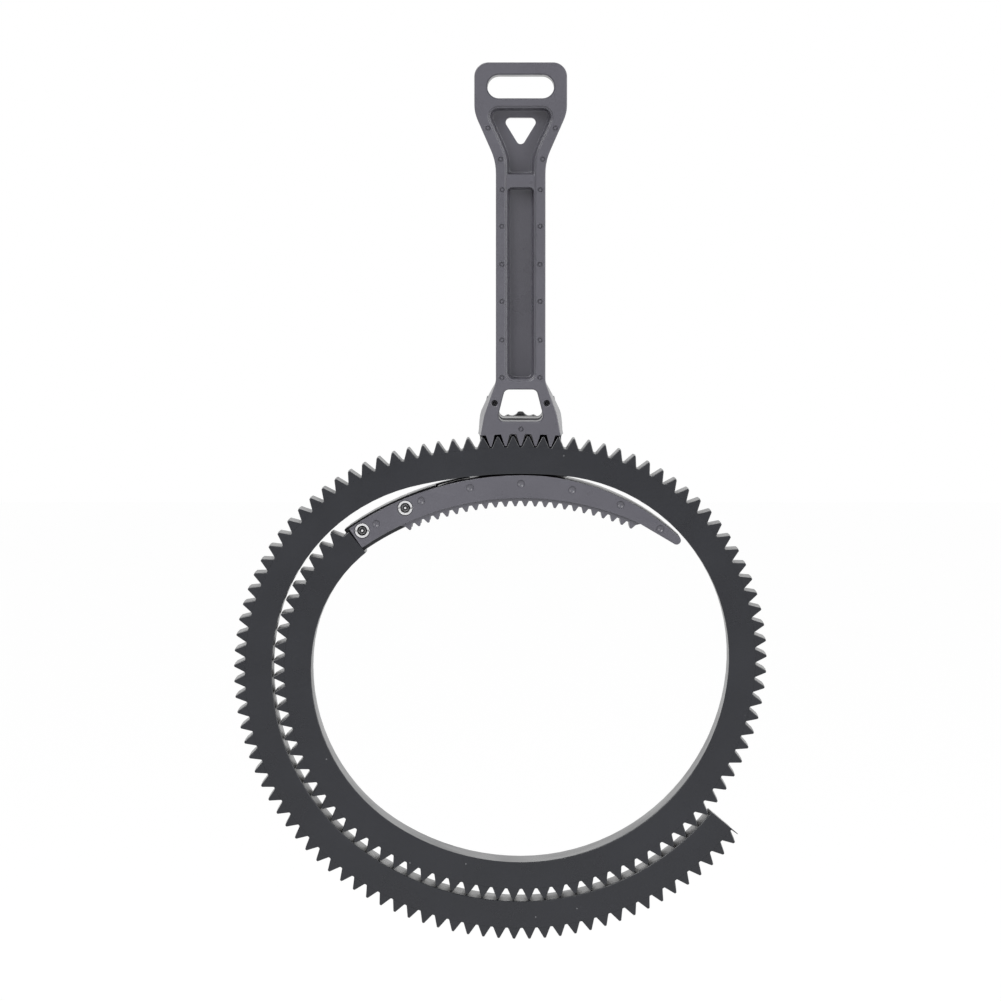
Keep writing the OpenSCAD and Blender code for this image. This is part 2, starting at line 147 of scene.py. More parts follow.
def mirrored(half: Sequence[Corner]) -> list[Corner]:
    """Returns the right half of a symmetric outline followed by its mirror image."""
    return [*half, *((-x, z, r) for x, z, r in reversed(half))]


def no_repeats(points: Sequence[Point]) -> list[Point]:
    """Returns a closed outline without points that repeat the one before them."""
    return [p for i, p in enumerate(points) if math.dist(p, points[i - 1]) > SAME_PLACE]


def subdivided(points: Sequence[Point], longest: float) -> list[Point]:
    """Cuts the sides of a closed outline into short lengths.

    Args:
        points: The closed outline.
        longest: The greatest length of a side.

    Returns:
        The outline with the new points between its own.
    """
    result: list[Point] = []
    for i, start in enumerate(points):
        end = points[(i + 1) % len(points)]
        count = max(1, math.ceil(math.dist(start, end) / longest))
        result += [
            (start[0] + (end[0] - start[0]) * k / count, start[1] + (end[1] - start[1]) * k / count)
            for k in range(count)
        ]
    return result


def inset(points: Sequence[Point], distance: float) -> list[Point]:
    """Moves every point of an anticlockwise outline inward.

    Args:
        points: The closed outline.
        distance: How far its sides move in; outward where it is negative.

    Returns:
        The outline with the same number of points.
    """
    moved: list[Point] = []
    for i, point in enumerate(points):
        before = Vector(point) - Vector(points[i - 1])
        after = Vector(points[(i + 1) % len(points)]) - Vector(point)
        left = (before.normalized().orthogonal() + after.normalized().orthogonal()).normalized()
        stretch = max(LEAST_STRETCH, left.dot(after.normalized().orthogonal()))
        moved.append(tuple(Vector(point) + left * distance / stretch))
    return moved


def inset_corners(corners: Sequence[Corner], distance: float) -> list[Corner]:
    """Moves the sides of an anticlockwise filleted outline inward and adapts its fillets.

    Args:
        corners: The corners (x, z, fillet radius).
        distance: How far the sides move in.

    Returns:
        Corners whose filleted outline has the same number of points.
    """
    places = [(x, z) for x, z, _ in corners]
    moved: list[Corner] = []
    for i, (place, (x, z)) in enumerate(zip(places, inset(places, distance))):
        before = Vector(place) - Vector(places[i - 1])
        after = Vector(places[(i + 1) % len(places)]) - Vector(place)
        change = -distance if before.x * after.y > before.y * after.x else distance
        radius = corners[i][2]
        moved.append((x, z, max(LEAST_FILLET, radius + change) if radius else 0.0))
    return moved


def area(points: Sequence[Point]) -> float:
    """Returns the signed area of a closed outline, which is positive anticlockwise."""
    return sum(
        points[i - 1][0] * point[1] - point[0] * points[i - 1][1] for i, point in enumerate(points)
    ) / 2


def anticlockwise(points: Sequence[Point]) -> list[Point]:
    """Returns an outline in anticlockwise order."""
    return list(points) if area(points) > 0 else list(reversed(points))


def at_depth(points: Sequence[Point], y: float) -> Ring:
    """Returns an outline as a ring at one depth along Y."""
    return [(x, y, z) for x, z in points]


def circle(centre: Point, radius: float, y: float, count: int = 48) -> Ring:
    """Returns a ring of points round an axis along Y."""
    return at_depth([polar(centre, radius, FULL_TURN * i / count) for i in range(count)], y)


# ---------------------------------------------------------------- modelling by operators


def deselect() -> None:
    """Leaves nothing selected in the scene."""
    for thing in bpy.context.selected_objects:
        thing.select_set(False)


def pick_up(piece: Piece) -> None:
    """Makes a piece the only selected one and the active one.

    Args:
        piece: The piece.
    """
    deselect()
    piece.select_set(True)
    bpy.context.view_layer.objects.active = piece


@contextmanager
def editing(piece: Piece, elements: str = "VERT") -> Iterator[None]:
    """Opens a piece in edit mode with nothing selected, and closes it again.

    Args:
        piece: The piece to edit.
        elements: The select mode, VERT, EDGE or FACE.
    """
    pick_up(piece)
    bpy.ops.object.mode_set(mode="EDIT")
    bpy.ops.mesh.select_mode(type=elements)
    bpy.ops.mesh.select_all(action="DESELECT")
    try:
        yield
    finally:
        bpy.ops.object.mode_set(mode="OBJECT")


def pick(piece: Piece, parts: str, test: PartTest) -> None:
    """Selects the parts of the edited piece that pass a test, and no others.

    Args:
        piece: The piece in edit mode.
        parts: The kind of part: verts, edges or faces.
        test: Test of one part.
    """
    bpy.ops.mesh.select_all(action="DESELECT")
    mesh = bmesh.from_edit_mesh(piece.data)
    mesh.normal_update()
    for part in getattr(mesh, parts):
        if test(part):
            part.select_set(True)
    if parts == "verts":
        mesh.select_flush_mode()
    bmesh.update_edit_mesh(piece.data)


def face_at(middle: Test, normal: Test = lambda n: True) -> PartTest:
    """Returns a test of a face by its middle and its normal."""
    return lambda face: middle(face.calc_center_median()) and normal(face.normal)


def edge_at(end: Test, middle: Test = lambda m: True) -> PartTest:
    """Returns a test of an edge by each of its ends and its middle."""
    return lambda edge: all(end(corner.co) for corner in edge.verts) and middle(
        (edge.verts[0].co + edge.verts[1].co) / 2
    )


def turn_outward() -> None:
    """Selects all of the edited piece and turns its faces outward."""
    bpy.ops.mesh.select_all(action="SELECT")
    bpy.ops.mesh.normals_make_consistent(inside=False)


def extrude(x: float, y: float) -> None:
    """Extrudes what is selected and moves it along X and Y."""
    bpy.ops.mesh.extrude_region_move(TRANSFORM_OT_translate={"value": (x, y, 0)})


def resize(factors: Place, centre: Place) -> None:
    """Scales what is selected along X, Y and Z from a centre."""
    bpy.ops.transform.resize(value=factors, center_override=centre)


def near(value: float, target: float, slack: float = 0.01) -> bool:
    """Tells whether a value lies at a target, within some slack."""
    return abs(value - target) < slack


def loft(name: str, rings: Sequence[Ring]) -> Piece:
    """Models a closed form from a filled circle that is extruded ring by ring.

    Args:
        name: Name of the new piece.
        rings: Rings with the same number of points, in order.

    Returns:
        The piece in millimetres, with its faces outward.
    """
    deselect()
    bpy.ops.mesh.primitive_circle_add(vertices=len(rings[0]), radius=1.0, fill_type="NGON")
    piece = bpy.context.active_object
    piece.name = piece.data.name = name
    with editing(piece, "FACE"):
        mesh = bmesh.from_edit_mesh(piece.data)
        layer = mesh.verts.layers.int.new("ring_place")
        for index, corner in enumerate(mesh.verts):
            corner[layer] = index
            corner.co = rings[0][index]
        bmesh.update_edit_mesh(piece.data)
        bpy.ops.mesh.select_all(action="SELECT")
        for ring in rings[1:]:
            extrude(0, 0.5)
            mesh = bmesh.from_edit_mesh(piece.data)
            layer = mesh.verts.layers.int["ring_place"]
            for corner in mesh.verts:
                if corner.select:
                    corner.co = ring[corner[layer]]
            bmesh.update_edit_mesh(piece.data)
        mesh = bmesh.from_edit_mesh(piece.data)
        mesh.verts.layers.int.remove(mesh.verts.layers.int["ring_place"])
        bmesh.update_edit_mesh(piece.data)
        turn_outward()
    return piece


def slab(name: str, points: Sequence[Point], front: float, back: float) -> Piece:
    """Models an outline with straight sides between two depths."""
    return loft(name, [at_depth(points, front), at_depth(points, back)])


def lathe(name: str, centre: Point, profile: Sequence[Point], count: int = 48) -> Piece:
    """Models a turned form round an axis along Y from (radius, depth) steps."""
    return loft(name, [circle(centre, radius, y, count) for radius, y in profile])


def apply_modifier(piece: Piece, kind: str, **settings: object) -> None:
    """Adds a modifier to a piece and applies it.

    Args:
        piece: The piece.
        kind: The modifier's type.
        settings: Its properties.
    """
    pick_up(piece)
    modifier = piece.modifiers.new(kind.title(), kind)
    for key, value in settings.items():
        setattr(modifier, key, value)
    bpy.ops.object.modifier_apply(modifier=modifier.name)


def combine(piece: Piece, tool: Piece, operation: str) -> None:
    """Unites a piece with a tool piece or cuts it, and deletes the tool.

    Args:
        piece: The piece that stays.
        tool: The piece that is used up.
        operation: UNION or DIFFERENCE.
    """
    apply_modifier(piece, "BOOLEAN", object=tool, operation=operation, solver="EXACT")
    bpy.data.objects.remove(tool)


def cut(piece: Piece, tool: Piece) -> None:
    """Cuts a piece with a tool piece, which is used up."""
    combine(piece, tool, "DIFFERENCE")


def soften(piece: Piece, width: float) -> None:
    """Rounds all sharp edges of a piece in millimetres."""
    apply_modifier(
        piece,
        "BEVEL",
        width=width,
        segments=BEVEL_STEPS,
        limit_method="ANGLE",
        angle_limit=math.radians(SHARP_ANGLE),
        use_clamp_overlap=False,
        loop_slide=False,
    )


def soften_where(piece: Piece, width: float, place: Test) -> None:
    """Rounds the sharp edges of a piece whose ends both pass a test.

    Args:
        piece: The piece in millimetres.
        width: Width of the rounding.
        place: Test of an edge's ends.
    """
    sharp, placed = math.radians(SHARP_ANGLE), edge_at(place)
    with editing(piece, "EDGE"):
        pick(piece, "edges", lambda e: e.calc_face_angle(0.0) > sharp and placed(e))
        bpy.ops.mesh.bevel(offset=width, segments=BEVEL_STEPS, affect="EDGES")


def press_marks(piece: Piece, marks: Sequence[Point], profile: Sequence[Point]) -> None:
    """Presses round ejector marks into the front face.

    Args:
        piece: The piece in millimetres.
        marks: The centres of the marks.
        profile: Their (radius, depth under the face) steps.
    """
    steps = [(radius, LEVELS.front + depth) for radius, depth in profile]
    for mark in marks:
        cut(piece, lathe("mark", mark, steps, count=20))


def joined(pieces: Sequence[Piece]) -> Piece:
    """Joins pieces into one.

    Args:
        pieces: The pieces.

    Returns:
        The first piece, which holds them all.
    """
    pick_up(pieces[0])
    for piece in pieces:
        piece.select_set(True)
    bpy.ops.object.join()
    return bpy.context.active_object


def copied(node: str, name: str) -> Piece:
    """Copies a CAD node as a merged mesh in millimetres.

    Args:
        node: Name of the CAD node.
        name: Name of the new piece.

    Returns:
        The copy, with its flat faces whole again.
    """
    piece = bpy.data.objects.new(name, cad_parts[node].data.copy())
    bpy.context.scene.collection.objects.link(piece)
    piece.data.materials.clear()
    piece.scale = (1 / MM,) * 3
    pick_up(piece)
    bpy.ops.object.transform_apply(location=False, rotation=False, scale=True)
    with editing(piece):
        bpy.ops.mesh.select_all(action="SELECT")
        bpy.ops.mesh.remove_doubles(threshold=MERGE_REACH)
        bpy.ops.mesh.dissolve_limited(angle_limit=math.radians(FLAT_ANGLE))
        turn_outward()
    return piece


# ---------------------------------------------------------------- finishes


class Signal:
    """One output of a node tree, with the maths that the finishes use."""

    def __init__(self, bench: "NodeBench", socket: bpy.types.NodeSocket) -> None:
        """Wraps a socket of a bench's tree."""
        self.bench = bench
        self.socket = socket

    def __add__(self, other: "Value") -> "Signal":
        """Returns this plus other."""
        return self.bench.maths("ADD", self, other)

    def __sub__(self, other: "Value") -> "Signal":
        """Returns this minus other."""
        return self.bench.maths("SUBTRACT", self, other)

    def __rsub__(self, other: "Value") -> "Signal":
        """Returns other minus this."""
        return self.bench.maths("SUBTRACT", other, self)

    def __mul__(self, other: "Value") -> "Signal":
        """Returns this times other."""
        return self.bench.maths("MULTIPLY", self, other)

    def __gt__(self, other: "Value") -> "Signal":
        """Returns 1 where this is greater than other, and 0 elsewhere."""
        return self.bench.maths("GREATER_THAN", self, other)

    def __lt__(self, other: "Value") -> "Signal":
        """Returns 1 where this is less than other, and 0 elsewhere."""
        return self.bench.maths("LESS_THAN", self, other)

    __radd__ = __add__
    __rmul__ = __mul__


Value = Signal | float


class NodeBench:
    """Builds the node tree of one finish."""

    def __init__(self, tree: bpy.types.NodeTree) -> None:
        """Empties a tree to build in it."""
        self.tree = tree
        tree.nodes.clear()

    def node(
        self,
        kind: str,
        settings: dict[str, object] | None = None,
        values: dict[str | int, object] | None = None,
    ) -> bpy.types.Node:
        """Adds a node.

        Args:
            kind: The node's type.
            settings: Its properties, which are set first.
            values: The values of its sockets or the signals that feed them, by the sockets' names,
                identifiers or places.

        Returns:
            The node.
        """
        node = self.tree.nodes.new(kind)
        for key, value in (settings or {}).items():
            setattr(node, key, value)
        for key, value in (values or {}).items():
            socket = node.inputs[key] if isinstance(key, int) else self.socket(node.inputs, key)
            if isinstance(value, Signal):
                self.tree.links.new(value.socket, socket)
            else:
                socket.default_value = value
        return node

    @staticmethod
    def socket(sockets: bpy.types.NodeInputs, key: str) -> bpy.types.NodeSocket:
        """Returns the socket with an identifier or a name."""
        return next(s for s in sockets if key in (s.identifier, s.name))

    def signal(self, node: bpy.types.Node, output: str | int = 0) -> Signal:
        """Wraps one output of a node.

        Args:
            node: The node.
            output: The output's name, identifier or place.

        Returns:
            The output.
        """
        sockets = node.outputs
        found = sockets[output] if isinstance(output, int) else self.socket(sockets, output)
        return Signal(self, found)

    def maths(self, operation: str, a: Value, b: Value) -> Signal:
        """Returns the result of a Math node on two values."""
        return self.signal(self.node("ShaderNodeMath", {"operation": operation}, {0: a, 1: b}))

    def place(self) -> Signal:
        """Returns the Object coordinates."""
        return self.signal(self.node("ShaderNodeTexCoord"), "Object")

    def noise(self, place: Signal, scale: float, detail: float = 2.0) -> Signal:
        """Returns a noise pattern with its scale in cells per metre."""
        values = {"Vector": place, "Scale": scale, "Detail": detail}
        return self.signal(self.node("ShaderNodeTexNoise", values=values))

    def ramp(self, source: Signal, low: float, high: float, bottom: float, top: float) -> Signal:
        """Maps a range of a signal smoothly onto another.

        Args:
            source: The signal.
            low: Its value that gives bottom.
            high: Its value that gives top.
            bottom: The least result.
            top: The greatest result.

        Returns:
            The mapped signal, which stays between bottom and top.
        """
        keys = ("Value", "From Min", "From Max", "To Min", "To Max")
        values = dict(zip(keys, (source, low, high, bottom, top)))
        settings = {"interpolation_type": "SMOOTHSTEP"}
        return self.signal(self.node("ShaderNodeMapRange", settings, values))

    def specks(self, place: Signal, scale: float, size: float, share: float) -> Signal:
        """Scatters soft round specks.

        Args:
            place: The coordinates.
            scale: Cells per metre, with one speck at most in each.
            size: Radius of a speck in cells.
            share: Share of the cells that have one.

        Returns:
            1 on a speck and 0 elsewhere.
        """
        cells = self.node("ShaderNodeTexVoronoi", values={"Vector": place, "Scale": scale})
        colour = self.signal(cells, "Color")
        channels = self.node("ShaderNodeSeparateColor", values={"Color": colour})
        inside = self.ramp(self.signal(cells, "Distance"), size, size * 0.5, 0.0, 1.0)
        return inside * (self.signal(channels, "Red") < share)

    def blend(self, factor: Signal, first: "Signal | Colour", second: "Signal | Colour") -> Signal:
        """Mixes two colours.

        Args:
            factor: The second colour's share.
            first: The first colour.
            second: The second colour.

        Returns:
            The mixed colour.
        """
        colours = [c if isinstance(c, Signal) else (*c, 1.0) for c in (first, second)]
        values = {"Factor_Float": factor, "A_Color": colours[0], "B_Color": colours[1]}
        mix = self.node("ShaderNodeMix", {"data_type": "RGBA"}, values)
        return self.signal(mix, "Result_Color")

    def bump(self, height: Signal, depth: float) -> Signal:
        """Returns a normal that a height bends, with the height's unit in metres."""
        values = {"Distance": depth, "Height": height}
        return self.signal(self.node("ShaderNodeBump", values=values))

    def surface(self, values: dict[str | int, object]) -> None:
        """Ends the tree with a Principled shader that has these sockets."""
        shader = self.node("ShaderNodeBsdfPrincipled", values=values)
        self.node("ShaderNodeOutputMaterial", values={"Surface": self.signal(shader)})


def tint(colour: Colour, factor: float) -> Colour:
    """Returns a colour made lighter or darker by a factor."""
    red, green, blue = (channel * factor for channel in colour)
    return red, green, blue


class Finish:
    """What every finish can do."""

    name: str

    def material(self) -> bpy.types.Material:
        """Builds the finish's material once.

        Returns:
            The material.
        """
        found = bpy.data.materials.get(self.name)
        if found:
            return found
        made = bpy.data.materials.new(self.name)
        made.use_nodes = True
        self.build(NodeBench(made.node_tree))
        return made

    def build(self, bench: NodeBench) -> None:
        """Builds the node tree."""
        raise NotImplementedError


@dataclass(frozen=True)
class MouldedFinish(Finish):
    """Moulded elastomer or plastic: a spark-eroded grain, faint flow clouds and some dust.

    Scales are cells per metre, and the dust's size is a radius in its cells.
    """

    name: str
    colour: Colour
    roughness: float
    grain_scale: float = 5200.0
    grain_depth: float = 0.000012
    cloud_scale: float = 110.0
    cloud_change: float = 0.08
    dust_scale: float = 420.0
    dust_size: float = 0.07
    dust_colour: Colour = (0.22, 0.22, 0.23)
    dust_share: float = 0.2
    dust_strength: float = 0.5

    def build(self, bench: NodeBench) -> None:
        """Builds the node tree.

        Args:
            bench: The bench of the material's tree.
        """
        place = bench.place()
        clouds = bench.noise(place, self.cloud_scale, 4.0)
        grain = bench.noise(place, self.grain_scale, 2.0)
        pits = bench.noise(place, self.grain_scale / 3, 1.0)
        dust = bench.specks(place, self.dust_scale, self.dust_size, self.dust_share)
        shades = bench.ramp(clouds * 0.75 + grain * 0.25, 0.35, 0.65, 0.0, 1.0)
        low, high = 1 - self.cloud_change, 1 + self.cloud_change
        base = bench.blend(shades, tint(self.colour, low), tint(self.colour, high))
        colour = bench.blend(dust * self.dust_strength, base, self.dust_colour)
        roughness = self.roughness + (clouds - 0.5) * 0.25 + dust * 0.15
        bench.surface(
            {
                "Base Color": colour,
                "Roughness": roughness,
                "Normal": bench.bump(grain + pits * 0.6 + dust * 0.8, self.grain_depth),
            }
        )


@dataclass(frozen=True)
class TurnedMetalFinish(Finish):
    """Turned metal: fine rings round an axis along Y, some scuffs, and painted shade in a socket.

    The socket lies between its two radii, in millimetres.
    """

    name: str
    colour: Colour
    roughness: float
    axis: Point = (0.0, 0.0)
    socket: Point = (0.0, 0.0)
    ring_pitch: float = 0.00012
    ring_depth: float = 0.0000004
    wobble_scale: float = 2600.0
    scuff_scale: float = 1500.0
    # Share of painted shade in the socket: how far its ring is darkened towards near black.
    painted_socket_shade: float = 0.6

    def build(self, bench: NodeBench) -> None:
        """Builds the node tree.

        Args:
            bench: The bench of the material's tree.
        """
        place = bench.place()
        parts = bench.node("ShaderNodeSeparateXYZ", values={"Vector": place})
        across = bench.signal(parts, "X") - self.axis[0] * MM
        up = bench.signal(parts, "Z") - self.axis[1] * MM
        radius = bench.maths("SQRT", across * across + up * up, 0.0)
        wobble = bench.noise(place, self.wobble_scale, 2.0)
        rings = bench.maths("SINE", radius * (math.tau / self.ring_pitch) + wobble * 4.0, 0.0)
        scuffs = bench.ramp(bench.noise(place, self.scuff_scale, 4.0), 0.5, 0.62, 0.0, 1.0)
        shade = bench.ramp(wobble, 0.3, 0.7, 0.0, 1.0)
        metal = bench.blend(shade, tint(self.colour, 0.9), tint(self.colour, 1.08))
        hole, rim = (edge * MM for edge in self.socket)
        # Painted shade: the ring between the socket's radii is darkened almost to black in the base
        # colour.
        painted_shade = (radius > hole) * (radius < rim) * self.painted_socket_shade
        bench.surface(
            {
                "Base Color": bench.blend(painted_shade, metal, tint(self.colour, 0.06)),
                "Metallic": 1.0,
                "Roughness": self.roughness + scuffs * 0.12 + rings * 0.03,
                "Normal": bench.bump(rings + wobble * 2.0, self.ring_depth),
            }
        )


CHARCOAL_ELASTOMER = MouldedFinish("charcoal_elastomer", (0.0125, 0.0135, 0.018), 0.3)
GREY_PLASTIC = MouldedFinish(
    "grey_moulded_plastic",
    (0.09, 0.088, 0.104),
    0.3,
    grain_scale=4200.0,
    cloud_change=0.05,
    dust_colour=(0.3, 0.3, 0.32),
    dust_share=0.1,
    dust_strength=0.3,
)
KNOB_PLASTIC = MouldedFinish(
    "grey_knob_plastic", (0.1, 0.1, 0.11), 0.34, grain_scale=3500.0, dust_share=0.1
)


def bright_steel(name: str, axis: Point, socket: Point = (0.0, 0.0)) -> TurnedMetalFinish:
    """Returns bright plated steel turned round an axis, with painted shade in its socket."""
    return TurnedMetalFinish(name, (0.93, 0.93, 0.94), 0.3, axis, socket)


# ---------------------------------------------------------------- pieces


class Body(Enum):
    """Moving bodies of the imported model."""

    RING = "ring"
    LEVER = "lever"
    KNOB = "knob"


class Slot(Enum):
    """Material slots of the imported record."""

    BELT = "belt"
    GREY_PLASTIC = "grey_plastic"
    SCREW_STEEL = "screw_steel"
    PIN_STEEL = "pin_steel"
    KNOB_PLASTIC = "knob_plastic"


def finished(
    piece: Piece, body: Body, finish: Finish, nodes: Sequence[str]
) -> None:
    """Brings a piece to metres, dresses it and hands it to its body.

    Args:
        piece: The piece in millimetres.
        body: The body that it rides on.
        finish: Its finish.
        nodes: The CAD nodes that it replaces.
    """
    piece.scale = (MM,) * 3
    pick_up(piece)
    bpy.ops.object.transform_apply(location=True, rotation=True, scale=True)
    bpy.ops.object.shade_smooth_by_angle(angle=math.radians(SMOOTH_ANGLE))
    piece.data.materials.clear()
    piece.data.materials.append(finish.material())
    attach(piece, body.value)
    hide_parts(*nodes)
    LOG.info("%s: %d faces on body %s", piece.name, len(piece.data.polygons), body.value)


def dress_node(node: str, finish: Finish) -> None:
    """Dresses a CAD node that stays as it is.

    Args:
        node: Name of the CAD node.
        finish: Its finish.
    """
    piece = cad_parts[node]
    piece.data.materials.clear()
    piece.data.materials.append(finish.material())
    LOG.info("%s: dressed with %s", node, finish.name)


@dataclass
class Levels:
    """Depths of the model along the lens axis, in millimetres."""

    front: float = -5.0
    back: float = 5.0
    tab_front: float = -2.3
    tongue_front: float = 5.2
    tongue_back: float = 8.2
    wall_front: float = 8.25
    wall_back: float = 10.75


@dataclass
class BeltForm:
    """Sizes of the belt that other pieces share, in millimetres."""

    pitch: float = 0.8 * math.pi
    tooth_h: float = 1.9
    tip_half_w: float = 0.17
    pitch_line_h: float = 3.8
    top_r: float = 80.0
    screws: tuple[Point, Point] = ((-27.0965, 21.2383), (-19.732, 25.1325))


LEVELS = Levels()
BELT = BeltForm()


@dataclass(frozen=True)
class Arc:
    """One arc of the belt's inner face."""

    centre: Point
    radius: float
    start: float
    end: float


@dataclass
class BeltPath:
    """The smooth chain of arcs that the belt follows, seen from the front."""

    loop_r: float = 35.6
    right_tighter: float = 4.4
    left_tighter: float = 3.9
    ease_wider: float = 3.8
    join_tighter: float = 4.1
    turn_step: float = 6.75
    entry_gap: float = 0.15
    lap_a: float = 128.6
    left_a: float = 238.0
    ease_a: float = 270.0
    right_a: float = -6.7
    last_a: float = 690.0
    top_arc: int = 5

    @staticmethod
    def next_centre(centre: Point, radius: float, next_radius: float, angle: float) -> Point:
        """Returns the centre of the arc that follows one at an angle."""
        return polar(centre, radius - next_radius, angle)

    @staticmethod
    def crossing(c1: Point, r1: float, c2: Point, r2: float) -> Point:
        """Finds where two circles cross.

        Args:
            c1: Centre of the first circle.
            r1: Radius of the first circle.
            c2: Centre of the second circle.
            r2: Radius of the second circle.

        Returns:
            The crossing on the left of the line from the first centre to the second.
        """
        start, line = Vector(c1), Vector(c2) - Vector(c1)
        length = line.length
        along = (length**2 + r1**2 - r2**2) / (2 * length)
        side = math.sqrt(r1**2 - along**2)
        ahead = line.normalized()
        return tuple(start + ahead * along + Vector((-ahead.y, ahead.x)) * side)

    @cached_property
    def arcs(self) -> list[Arc]:
        """The arcs in order, from the belt's inner end to past its free end."""
        ease_r, left_r = self.loop_r + self.ease_wider, self.loop_r - self.left_tighter
        right_r, join_r = self.loop_r - self.right_tighter, self.loop_r - self.join_tighter
        ease_c = self.next_centre((0.0, 0.0), self.loop_r, ease_r, self.ease_a)
        left_c = self.next_centre(ease_c, ease_r, left_r, self.left_a)
        right_c = self.next_centre((0.0, 0.0), self.loop_r, right_r, self.right_a)
        top_a = math.degrees(math.acos(right_c[0] / (BELT.top_r - right_r)))
        top_c = self.next_centre(right_c, right_r, BELT.top_r, top_a)
        reach = left_r + self.turn_step - join_r
        join_c = self.crossing(top_c, BELT.top_r - join_r, left_c, reach)
        join_a, bend_a = heading(top_c, join_c), heading(left_c, join_c)
        entry_r = join_r - self.turn_step - self.entry_gap
        entry_c = self.next_centre(left_c, left_r, entry_r, bend_a)
        turn, step = FULL_TURN, self.turn_step
        return [
            Arc(entry_c, entry_r, self.lap_a, bend_a),
            Arc(left_c, left_r, bend_a, self.left_a),
            Arc(ease_c, ease_r, self.left_a, self.ease_a),
            Arc((0.0, 0.0), self.loop_r, self.ease_a, self.right_a + turn),
            Arc(right_c, right_r, self.right_a + turn, top_a + turn),
            Arc(top_c, BELT.top_r, top_a + turn, join_a + turn),
            Arc(join_c, join_r, join_a + turn, bend_a + turn),
            Arc(left_c, left_r + step, bend_a + turn, self.left_a + turn),
            Arc(ease_c, ease_r + step, self.left_a + turn, self.ease_a + turn),
            Arc((0.0, 0.0), self.loop_r + step, self.ease_a + turn, self.last_a),
        ]

    def length(self, count: int) -> float:
        """Returns the length of the pitch line over the first arcs."""
        arcs = self.arcs[:count]
        return sum((a.radius + BELT.pitch_line_h) * math.radians(a.end - a.start) for a in arcs)

    @cached_property
    def crest(self) -> float:
        """The pitch line's station at the top, under the lever."""
        top = self.arcs[self.top_arc]
        turned = math.radians(FULL_TURN + 90.0 - top.start)
        return self.length(self.top_arc) + (top.radius + BELT.pitch_line_h) * turned

    def guide(self) -> Piece:
        """Draws the pitch line in the XY plane.

        Returns:
            The curve, in millimetres.
        """
        points: list[Point] = []
        for a in self.arcs:
            line = arc(a.centre, a.radius + BELT.pitch_line_h, a.start, a.end, step=1.0)
            points += line[1:] if points else line
        curve = bpy.data.curves.new("belt_pitch_line", "CURVE")
        curve.dimensions = "2D"
        spline = curve.splines.new("POLY")
        spline.points.add(len(points) - 1)
        for dot, (x, z) in zip(spline.points, points):
            dot.co = (x, z, 0.0, 1.0)
        guide = bpy.data.objects.new("belt_pitch_line", curve)
        bpy.context.scene.collection.objects.link(guide)
        return guide


